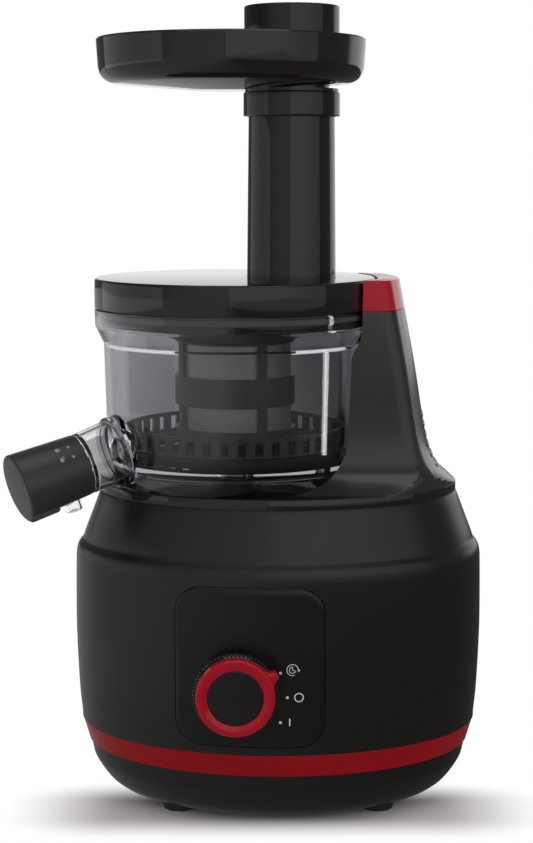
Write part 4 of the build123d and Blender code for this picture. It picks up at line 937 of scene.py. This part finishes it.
# ---------------------------------------------------------------- juice spout
# A clear spout is welded to the bowl's boss, which shades its welded end: a flange,
# a cone and a tube that ends inside the cap, with a short nozzle below it.
clear = clear_plastic("clear plastic", (0.965, 0.96, 0.975), (0.98, 0.975, 0.985), (0.95, 0.945, 0.96))
spout_form = [(17.6, 0.0, 0), (17.6, 1.8, 0.6), (16.5, 2.2, 1.0), (16.2, 5.0, 0), (15.2, 19.9, 0.5),
              (12.6, 20.0, 0.4), (12.6, 48.0, 0.6), (0.0, 48.0, 0), (0.0, 46.0, 0), (10.8, 46.0, 0.5),
              (10.8, 19.0, 2.0), (13.2, 17.0, 1.0), (14.6, 2.0, 0), (14.6, 0.0, 0)]
spout = spout_rings("juice_spout_skin", eased(spout_form), joined=True, sharp=40)
weld_smoke = clear_plastic("smoked weld plastic", (0.42, 0.41, 0.44), (0.46, 0.45, 0.48), (0.6, 0.59, 0.62))
weld_end = 5.0
spout.data.materials.append(clear)
spout.data.materials.append(weld_smoke)
for face in spout.data.polygons:
    if (face.center - at(*spout_root)).dot(spout_way) < weld_end / 1000:
        face.material_index = 1
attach(spout, "bowl")
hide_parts("juice_spout")
nozzle_along = 30.0
nozzle_steps = 48
nozzle_at = spout_root + spout_way * nozzle_along
nozzle_rings = []
for radius, down in ((4.2, 12.7), (4.2, 20.2), (3.9, 20.5), (3.3, 20.5), (3.1, 20.2), (3.1, 12.7)):
    ring = []
    for k in range(nozzle_steps):
        turn = 2 * pi * k / nozzle_steps
        aside = spout_way * (radius * cos(turn)) + spout_side * (radius * sin(turn))
        ring.append(tuple(nozzle_at - spout_up * down + aside))
    nozzle_rings.append(ring)
nozzle = skin("spout_nozzle", nozzle_rings, joined=True, sharp=40)
nozzle.data.materials.append(clear)
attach(nozzle, "bowl")


# ---------------------------------------------------------------- spout cap
# The black plastic cap slides over the spout's tube and twists to shut it. A slot
# lets the nozzle through, a rail runs underneath, and grey signs are printed on top.
cap_black = moulded("spout cap black", (0.034, 0.034, 0.032), (0.040, 0.0395, 0.038), 0.32, 0.4, 900, 0.03)
sign_grey = moulded("dim grey print", (0.34, 0.34, 0.34), (0.40, 0.40, 0.40), 0.4, 0.5, 1500, 0.03)
cap_start = 20.3
cap_end = 55.3
cap_open = 15.4
cap_wide = 16.9
cap_bore = 13.9
cap_floor = cap_end - 6.5
cap_form = [(cap_bore, cap_start, 0.3), (cap_open, cap_start, 0.9), (cap_wide, cap_end - 0.5, 1.6),
            (0, cap_end, 0), (0, cap_floor, 0), (cap_bore, cap_floor, 0.3)]
spout_cap = spout_rings("spout_cap_skin", eased(cap_form), joined=True, sharp=35)


def spout_wedge(name, form, start, end, steps):
    """Piece of (radius, distance along) outline between two turns, in degrees round the spout."""
    rings = []
    for k in range(steps + 1):
        turn = radians(start + (end - start) * k / steps)
        rings.append([spout_point(r, turn, along) for r, along in form])
    return skin(name, rings)


nozzle_turn = 180.0
nozzle_room = 17.0
cap_twist = 60.0
slot_form = ((12.0, 24.8), (22.0, 24.8), (22.0, 35.2), (12.0, 35.2))
slot = spout_wedge("slot", slot_form, nozzle_turn - nozzle_room, nozzle_turn + cap_twist + nozzle_room, 24)
cut(spout_cap, slot, "DIFFERENCE")
rail_half = 9.0
rail_form = ((15.0, 37.5), (17.0, 37.5), (18.0, 38.5), (18.3, cap_end - 2.6), (17.3, cap_end - 1.4),
             (15.0, cap_end - 1.4))
rail = spout_wedge("rail", rail_form, nozzle_turn - rail_half, nozzle_turn + rail_half, 8)
cut(spout_cap, rail, "UNION")
smoothed(spout_cap, 35, cap_black)
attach(spout_cap, "cap")
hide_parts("spout_cap")


def on_spout_cap(points):
    """Flat outline wrapped on the cap: x runs round it and y along it, in millimetres."""
    placed = []
    for x, y in points:
        radius = cap_open + (cap_wide - cap_open) * (y - cap_start) / (cap_end - cap_start) + ink
        placed.append(spout_point(radius, x / radius, y))
    return placed


def padlock(x, y, opened):
    """Outlined padlock with its shackle closed or swung open."""
    body = [bar_strip(x - 1.1, y, x + 1.1, y, 1.6)]
    shift = -0.9 if opened else 0.0
    body.append(arc_strip(x + shift, y - 0.8, 0.75, 0.35, 180, 360, 16))
    return body


signs = []
for place, opened in ((9.5, False), (15.5, True)):
    signs += padlock(place, 33.0, opened)
    signs.append([[(place - 0.9, 27.6), (place + 0.9, 27.6)], [(place - 0.02, 25.9), (place + 0.02, 25.9)]])
lock_signs = printed("spout_cap_signs", signs, on_spout_cap)
lock_signs.data.materials.append(sign_grey)
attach(lock_signs, "cap")


# ---------------------------------------------------------------- strainer
# A dark nylon frame holds a fine etched steel sleeve that shows in two rows of
# windows; a wide funnel on top leads the produce to the auger.
cage_grey = moulded("dark nylon", (0.035, 0.034, 0.036), (0.05, 0.049, 0.052), 0.35, 0.5)
frame_low, frame_high = span("strainer_frame")
sleeve_low, sleeve_high = span("strainer_mesh")
sleeve_radius = (sleeve_high.x - sleeve_low.x) / 2
frame_in = sleeve_radius + 0.1
frame_out = frame_in + 2.0
funnel_radius = (frame_high.x - frame_low.x) / 2
floor_low = sleeve_low.z - 2.5
neck_z = sleeve_high.z
windows = 4
window_half = radians(40.5)
window_turn = radians(253.0)
low_row = (foot_z + 32.3, foot_z + 44.3)
high_row = (foot_z + 58.8, foot_z + 74.7)


def wall_post(low_z, high_z, start, end, steps=16):
    """Upright bar of the frame's wall between two heights and two turns round the bowl's axis."""
    rings = []
    corners = ((frame_in, low_z), (frame_out, low_z), (frame_out, high_z), (frame_in, high_z))
    for k in range(steps + 1):
        turn = start + (end - start) * k / steps
        rings.append([(bowl_x + r * cos(turn), r * sin(turn), z) for r, z in corners])
    return skin("post", rings)


base_in = 15.8
funnel_in = funnel_radius - 2.0
foot_band = [(base_in, floor_low), (frame_out, floor_low), (frame_out, low_row[0]), (frame_in, low_row[0]),
             (frame_in, sleeve_low.z), (base_in, sleeve_low.z)]
middle_band = [(frame_in, low_row[1]), (frame_out, low_row[1]), (frame_out, high_row[0]),
               (frame_in, high_row[0])]
funnel = eased([(frame_in, high_row[1], 0), (frame_out, high_row[1], 0), (frame_out, neck_z, 1.0),
                (funnel_radius, frame_high.z - 5.0, 1.0), (funnel_radius, frame_high.z, 0.4),
                (funnel_in, frame_high.z, 0.4), (funnel_in, frame_high.z - 3.4, 1.0),
                (frame_in, neck_z + 1.8, 1.0)])
bands = [turned("band", form, bowl_x, joined=True) for form in (foot_band, middle_band, funnel)]
for low_z, high_z in (low_row, high_row):
    for k in range(windows):
        start = window_turn + 2 * pi * k / windows + window_half
        bands.append(wall_post(low_z, high_z, start, start + 2 * pi / windows - 2 * window_half))
leg_out = 23.0
leg_form = [(0, frame_low.z), (3.0, frame_low.z), (3.0, floor_low), (0, floor_low)]
for degrees_round in (150.0, 215.0, 282.0):
    turn = radians(degrees_round)
    bands.append(turned("leg", leg_form, bowl_x + leg_out * cos(turn), leg_out * sin(turn), count=32))
strainer = united("strainer_skin", bands)
strainer.data.materials.append(cage_grey)
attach(strainer, "strainer")
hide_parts("strainer_frame")


def vector_of(tree, operation, *values):
    """Result of a sum on vectors."""
    return output_of(tree, "ShaderNodeVectorMath", dict(enumerate(values)), operation=operation)


mesh_steel, tree, shader = principled("etched strainer steel")
place = node_of(tree, "ShaderNodeTexCoord").outputs["Object"]
centred = vector_of(tree, "SUBTRACT", place, at(bowl_x, 0, 0))
parts = node_of(tree, "ShaderNodeSeparateXYZ", {0: centred}).outputs
turn = number_of(tree, "ARCTAN2", parts["Y"], parts["X"])
around = number_of(tree, "MULTIPLY", turn, sleeve_radius / 1000)
flat = output_of(tree, "ShaderNodeCombineXYZ", {"X": around, "Y": parts["Z"]})
holes = output_of(tree, "ShaderNodeTexVoronoi", {"Vector": flat, "Scale": 1300.0, "Randomness": 0.15},
                  voronoi_dimensions="2D")
steel_tint = blend_of(tree, ramp_of(tree, holes, 0.25, 0.45), (0.22, 0.22, 0.23, 1), (0.74, 0.74, 0.75, 1))
feed(tree, shader, {"Base Color": steel_tint, "Metallic": 0.55, "Roughness": 0.55})
sleeve_in = sleeve_radius - 0.5
sleeve_form = [(sleeve_radius, sleeve_low.z), (sleeve_radius, sleeve_high.z), (sleeve_in, sleeve_high.z),
               (sleeve_in, sleeve_low.z)]
sleeve = turned("strainer_sleeve", sleeve_form, bowl_x, joined=True)
sleeve.data.materials.append(mesh_steel)
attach(sleeve, "strainer")
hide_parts("strainer_mesh")


# ---------------------------------------------------------------- brush cage
# The turning cage has a toothed ring of dark nylon at its foot, with slots between
# the blocks above it, and a clear smoked wall that carries two silicone wipers.
cage_low, cage_high = span("brush_cage")
cage_radius = 56.0
cage_in = 54.4
gear_top = cage_low.z + 4.4
slot_low = gear_top + 2.4
slot_high = gear_top + 9.2
wall_low = slot_high + 2.0
teeth = 42
tooth_radius = 55.2
tooth_depth = 1.6
tooth_width = 2 * pi * tooth_radius / teeth * 0.52
gear_form = [(48.0, cage_low.z), (53.3, cage_low.z), (53.3, gear_top), (cage_radius, gear_top + 1.4),
             (cage_radius, slot_low), (cage_in, slot_low), (cage_in, gear_top + 1.0), (50.2, gear_top),
             (50.2, cage_low.z + 0.4)]
hoop_form = [(cage_in, slot_high), (cage_radius, slot_high), (cage_radius, wall_low), (cage_in, wall_low)]
cage_ring = united("cage_ring", [
    turned("cage", form, bowl_x, joined=True, count=252) for form in (gear_form, hoop_form)])


def block_group():
    """Geometry Nodes: equal blocks set round an upright axis, each facing outwards."""
    group, sizes, given = group_of("blocks round an axis", Count="Int", Radius="Float", Block="Vector",
                                   Material="Material")
    circle_inputs = {"Vertices": given["Count"], "Radius": given["Radius"]}
    circle = output_of(group, "GeometryNodeMeshCircle", circle_inputs)
    block = output_of(group, "GeometryNodeMeshCube", {"Size": given["Block"]})
    here = output_of(group, "GeometryNodeInputPosition")
    set_on_points(group, circle, block, outward_turn(group, here), given["Material"])
    return group, sizes


blocks_round_an_axis, block_sizes = block_group()
cage_teeth = grown("cage_teeth", blocks_round_an_axis, block_sizes, {
    "Count": teeth, "Radius": tooth_radius / 1000, "Material": cage_grey,
    "Block": (tooth_depth / 1000, tooth_width / 1000, (slot_high - slot_low) / 1000)})
teeth_at = at(bowl_x, 0, (slot_low + slot_high) / 2)
cage_teeth.data.transform(Matrix.Translation(teeth_at) @ Matrix.Rotation(pi / teeth, 4, "Z"))
cage_ring.data.materials.append(cage_grey)
wall_form = eased([(cage_in, wall_low, 0), (cage_radius, wall_low, 0), (cage_radius, cage_high.z, 0.5),
                   (cage_in, cage_high.z, 0.5)])
cage_wall = turned("cage_wall", wall_form, bowl_x, joined=True, count=252)
cage_clear = moulded("clear cage plastic", (0.16, 0.155, 0.165), (0.19, 0.185, 0.195), 0.12, 0.18, 300, 0.01,
                     {"Alpha": 0.10})
cage_wall.data.materials.append(cage_clear)
finishes = ((cage_ring, "strainer_grey"), (cage_teeth, "strainer_grey"), (cage_wall, "smoke_clear"))
for piece, finish in finishes:
    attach(piece, "brush")
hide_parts("brush_cage")


# ---------------------------------------------------------------- auger and seals
# The auger is cast resin with steel pin and nylon gear; seals and rings are grey
# silicone pushed into their grooves, and the cage's wipers are clear silicone.
auger_resin = moulded("auger resin", (0.045, 0.04, 0.04), (0.06, 0.055, 0.055), 0.35, 0.45)
silicone = moulded("silicone", (0.10, 0.10, 0.105), (0.13, 0.13, 0.135), 0.45, 0.6)
wiper_clear = moulded("clear silicone", (0.30, 0.29, 0.31), (0.34, 0.33, 0.35), 0.4, 0.5, 300, 0.01,
                      {"Alpha": 0.14})
dress(auger_resin, "auger")
dress(silicone, "shaft_seal", "spout_seal", "lid_gasket", "pusher_ring")
dress(wiper_clear, "wiper_blades")


# ---------------------------------------------------------------- lid
# The glossy black ABS lid is a shallow moulded cap with a spigot that drops into
# the bowl; the feed tube stands in a round hole right of its middle.
tube_low, tube_high = span("feed_tube")
tube_x = (tube_low.x + tube_high.x) / 2
tube_foot = (tube_high.x - tube_low.x) / 2
lid_radius = collar_radius
skirt_z = rim_z + 0.3
lid_under = lid_high.z - 3.0
lid_form = eased([(0, lid_high.z, 0), (lid_radius, lid_high.z, 1.6), (lid_radius, skirt_z, 0.5),
                  (67.4, skirt_z, 0), (67.4, lid_low.z, 0.6), (65.0, lid_low.z, 0.6),
                  (65.0, lid_under, 1.5), (0, lid_under, 0)], 6)
lid = turned("lid_skin", lid_form, bowl_x, count=256)
hole = tube_foot + 0.1
hole_edge = tube_foot + 0.45
opening_form = [(0, skirt_z), (hole, skirt_z), (hole, lid_high.z - 0.35), (hole_edge, lid_high.z + 0.05),
                (hole_edge, lid_high.z + 5), (0, lid_high.z + 5)]
cut(lid, turned("opening", opening_form, tube_x), "DIFFERENCE")
smoothed(lid, 30, gloss_black)
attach(lid, "lid_body")
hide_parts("lid")


# ---------------------------------------------------------------- feed tube
# A straight tube of the same black ABS, fixed in the lid. Its bore is even, and
# its wall thins a little towards the top.
tube_top = 21.5
tube_bore = 19.4
tube_form = [(tube_foot, tube_low.z, 0.4), (tube_foot, lid_high.z, 0.2), (tube_top, tube_high.z, 0.6),
             (tube_bore, tube_high.z, 0.8), (tube_bore, tube_low.z, 0.4)]
feed_tube = turned("feed_tube_skin", eased(tube_form), tube_x, joined=True, count=192)
feed_tube.data.materials.append(gloss_black)
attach(feed_tube, "lid_body")
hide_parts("feed_tube")


# ---------------------------------------------------------------- tray
# The round tray is a glossy black ABS dish, off centre over the tube, with a
# stepped collar that slips over the tube's end.
tray_low, tray_high = span("tray")
tray_x = (tray_low.x + tray_high.x) / 2
tray_radius = (tray_high.x - tray_low.x) / 2
rim = tray_high.z
under = rim - 25.2
dish = eased([(0, under, 0), (20.0, under, 0), (tray_radius - 1.3, under + 3.6, 10.0),
              (tray_radius, rim - 0.8, 0.5), (tray_radius - 0.6, rim, 0.5), (tray_radius - 2.3, rim, 0.5),
              (tray_radius - 3.6, under + 5.9, 8.0), (20.0, under + 2.2, 0), (0, under + 2.2, 0)], 16)
tray = turned("tray_skin", dish, tray_x, count=256)
collar_top = under + 0.6
collar_form = eased([(22.3, tray_low.z + 2.0, 0.4), (24.2, tray_low.z + 2.0, 0.7), (24.2, under - 1.3, 0.9),
                     (23.4, under - 1.1, 0.3), (23.4, collar_top, 0), (22.3, collar_top, 0)])
collar = turned("collar", collar_form, tube_x, joined=True, count=192)
hole_form = [(0, under - 1), (tube_bore, under - 1), (tube_bore, under + 4), (0, under + 4)]
cut(tray, turned("through", hole_form, tube_x), "DIFFERENCE")
smoothed(tray, 30, gloss_black)
collar.data.materials.append(gloss_black)
for piece in (tray, collar):
    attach(piece, "tray_body")
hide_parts("tray")


# ---------------------------------------------------------------- pusher
# A hollow black ABS pusher with a wider grip closed just below its rim; it stands
# in the tube and rests on the tray.
pusher_low, pusher_high = span("pusher")
grip_radius = (pusher_high.x - pusher_low.x) / 2
seat = pusher_high.z - 38.5
grip_in = grip_radius - 2.2
grip_floor = pusher_high.z - 5.0
pusher_form = eased([(0, pusher_low.z, 0), (18.8, pusher_low.z, 1.0), (18.8, seat, 0),
                     (grip_radius, seat, 0.5), (grip_radius, pusher_high.z, 2.2),
                     (grip_in, pusher_high.z, 0.8), (grip_in, grip_floor, 1.0), (0, grip_floor, 0)], 6)
pusher = turned("pusher_skin", pusher_form, tube_x, count=192)
pusher.data.materials.append(gloss_black)
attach(pusher, "pusher_body")
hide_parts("pusher")


# ---------------------------------------------------------------- studio
# A white floor keeps the soft shadow. Two wide soft boxes and a top light, which
# leaves out the bowl and the spout, light everything; a strip lights the bowl
# alone, and an edge light the knob and its panel. The camera stands in front.
reach = 4000
sheet = [(-reach, -reach, 0), (reach, -reach, 0), (reach, reach, 0), (-reach, reach, 0)]
floor = added("studio_floor", mesh_of("studio_floor", sheet, [(0, 1, 2, 3)]))
floor_white, tree, shader = principled("studio floor white")
feed(tree, shader, {"Base Color": (0.93, 0.93, 0.93, 1), "Roughness": 0.9, "Specular IOR Level": 0.0})

# Near the base the floor keeps its shade; further off, what the camera sees of it fades to white.
# Its reflections, and what clear plastic shows of its front, are a painted reflection: a glow lighter at the
# left.
shade_middle = at(0, -43, 0)
shade_half = (0.078, 0.010, 0.0)
shade_fade = (0.064, 0.033, 1.0)
place = node_of(tree, "ShaderNodeTexCoord").outputs["Object"]
aside = vector_of(tree, "SUBTRACT", place, shade_middle)
past = vector_of(tree, "SUBTRACT", vector_of(tree, "ABSOLUTE", aside), shade_half)
past = vector_of(tree, "MAXIMUM", past, (0.0, 0.0, 0.0))
away = vector_of(tree, "LENGTH", vector_of(tree, "DIVIDE", past, shade_fade))
fade = ramp_of(tree, away, 0.0, 1.0, kind="SMOOTHSTEP")
rays = node_of(tree, "ShaderNodeLightPath").outputs
seen = number_of(tree, "MAXIMUM", rays["Is Camera Ray"], rays["Is Transmission Ray"])
white = output_of(tree, "ShaderNodeEmission", {"Strength": 1.0})
lit = shader_between(tree, number_of(tree, "MULTIPLY", fade, seen), shader.outputs[0], white)
sides = node_of(tree, "ShaderNodeSeparateXYZ", {0: aside}).outputs
# Painted reflection of the floor: a glow, lighter at the left than at the right, in place of the lit floor.
dim = output_of(tree, "ShaderNodeEmission", {"Strength": ramp_of(tree, sides["X"], -0.3, 0.1, 0.45, 0.08)})
in_front = ramp_of(tree, sides["Y"], 0.10, -0.02)
bent = number_of(tree, "MULTIPLY", rays["Is Transmission Ray"], in_front)
painted_glow_share = number_of(tree, "MAXIMUM", rays["Is Glossy Ray"], bent)
feed(tree, tree.nodes["Material Output"], {"Surface": shader_between(tree, painted_glow_share, lit, dim)})
floor.data.materials.append(floor_white)

# The world is white where the camera sees it and low behind the object. Elsewhere it is
# dim, and in reflections it is brighter in front than at the back.
world = bpy.data.worlds.new("studio")
bpy.context.scene.world = world
world.use_nodes = True
tree = world.node_tree
surround = tree.nodes["Background"]
way = node_of(tree, "ShaderNodeTexCoord").outputs["Generated"]
parts = node_of(tree, "ShaderNodeSeparateXYZ", {0: way}).outputs
rays = node_of(tree, "ShaderNodeLightPath").outputs
front_glow = ramp_of(tree, parts["Y"], -0.95, -0.15, 0.55, 0.14, "SMOOTHSTEP")
glow = output_of(tree, "ShaderNodeMix", {"Factor": rays["Is Glossy Ray"], "A": 0.42, "B": front_glow})
feed(tree, surround, {"Color": (0.92, 0.86, 0.83, 1), "Strength": glow})
white_sky = output_of(tree, "ShaderNodeBackground", {"Color": (1, 1, 1, 1), "Strength": 1.0})
low_down = ramp_of(tree, parts["Z"], 0.42, 0.22, kind="SMOOTHSTEP")
straight = number_of(tree, "MULTIPLY", ramp_of(tree, parts["Y"], 0.0, 0.3), low_down)
seen_through = number_of(tree, "MULTIPLY", rays["Is Transmission Ray"], straight)
seen = number_of(tree, "MAXIMUM", rays["Is Camera Ray"], seen_through)
bearing = number_of(tree, "ARCTAN2", parts["X"], parts["Y"])
left_edge = ramp_of(tree, bearing, -0.34, -0.16, kind="SMOOTHSTEP")
right_edge = ramp_of(tree, bearing, 1.12, 0.92, kind="SMOOTHSTEP")
behind = number_of(tree, "MULTIPLY", left_edge, right_edge)
bright = number_of(tree, "MAXIMUM", seen, number_of(tree, "MULTIPLY", behind, low_down))
sky = shader_between(tree, bright, surround.outputs[0], white_sky)
feed(tree, tree.nodes["World Output"], {"Surface": sky})


def area_light(name, place, wide, tall, radiance):
    """Rectangular lamp that shines straight down until it is turned."""
    lamp = bpy.data.lights.new(name, "AREA")
    lamp.shape = "RECTANGLE"
    lamp.size = wide
    lamp.size_y = tall
    lamp.energy = radiance * pi * wide * tall
    item = added(name, lamp)
    item.location = place
    return item


def soft_box(name, bearing_degrees, distance, height_at, span_degrees, tall, radiance):
    """Upright soft box at a bearing from the camera's side, facing the object."""
    turn = radians(bearing_degrees)
    place = at(distance * sin(turn), -distance * cos(turn), height_at)
    wide = 2 * distance / 1000 * tan(radians(span_degrees / 2))
    item = area_light(name, place, wide, tall, radiance)
    item.rotation_euler = (at(0, 0, min(height_at, 300)) - place).to_track_quat("-Z", "Y").to_euler()
    return item


def shine_on(light, label, pieces, state):
    """Lets a light fall on a few pieces alone, or on all but them."""
    group = bpy.data.collections.new(label)
    for piece in pieces:
        group.objects.link(piece)
        group.collection_objects[group.objects.find(piece.name)].light_linking.link_state = state
    light.light_linking.receiver_collection = group


soft_box("left_soft_box", -96.0, 1900, 290, 76.0, 0.6, 0.46)
soft_box("right_soft_box", 37.0, 1900, 420, 82.0, 2.4, 0.34)
bowl_strip = soft_box("bowl_strip", 84.0, 620, 88, 4.4, 0.14, 9.0)
shine_on(bowl_strip, "lit by the strip", [bowl], "INCLUDE")
edge_light = soft_box("edge_light", -102.0, 1400, 960, 22.0, 0.5, 5.0)
shine_on(edge_light, "lit at the edge", [red_ring, pointer, ribs, skirt, panel], "INCLUDE")
top_light = area_light("top_light", at(0, -200, 1900), 1.6, 1.2, 1.2)
shine_on(top_light, "not lit from above", [bowl, spout], "EXCLUDE")

camera_down = 8.13
focal_pixels = 1780.0
picture_pixels = 533.0
camera_data = bpy.data.cameras.new("camera")
camera = added("camera", camera_data)
camera_data.sensor_fit = "HORIZONTAL"
camera_data.sensor_width = 36.0
camera_data.lens = camera_data.sensor_width * focal_pixels / picture_pixels
camera_data.clip_start = 0.01
camera_data.clip_end = 30.0
camera.location = at(-6.0, -903.0, 320.4)
camera.rotation_euler = (radians(90.0 - camera_down), 0.0, 0.0)
bpy.context.scene.camera = camera
bpy.context.scene.view_settings.view_transform = "Standard"
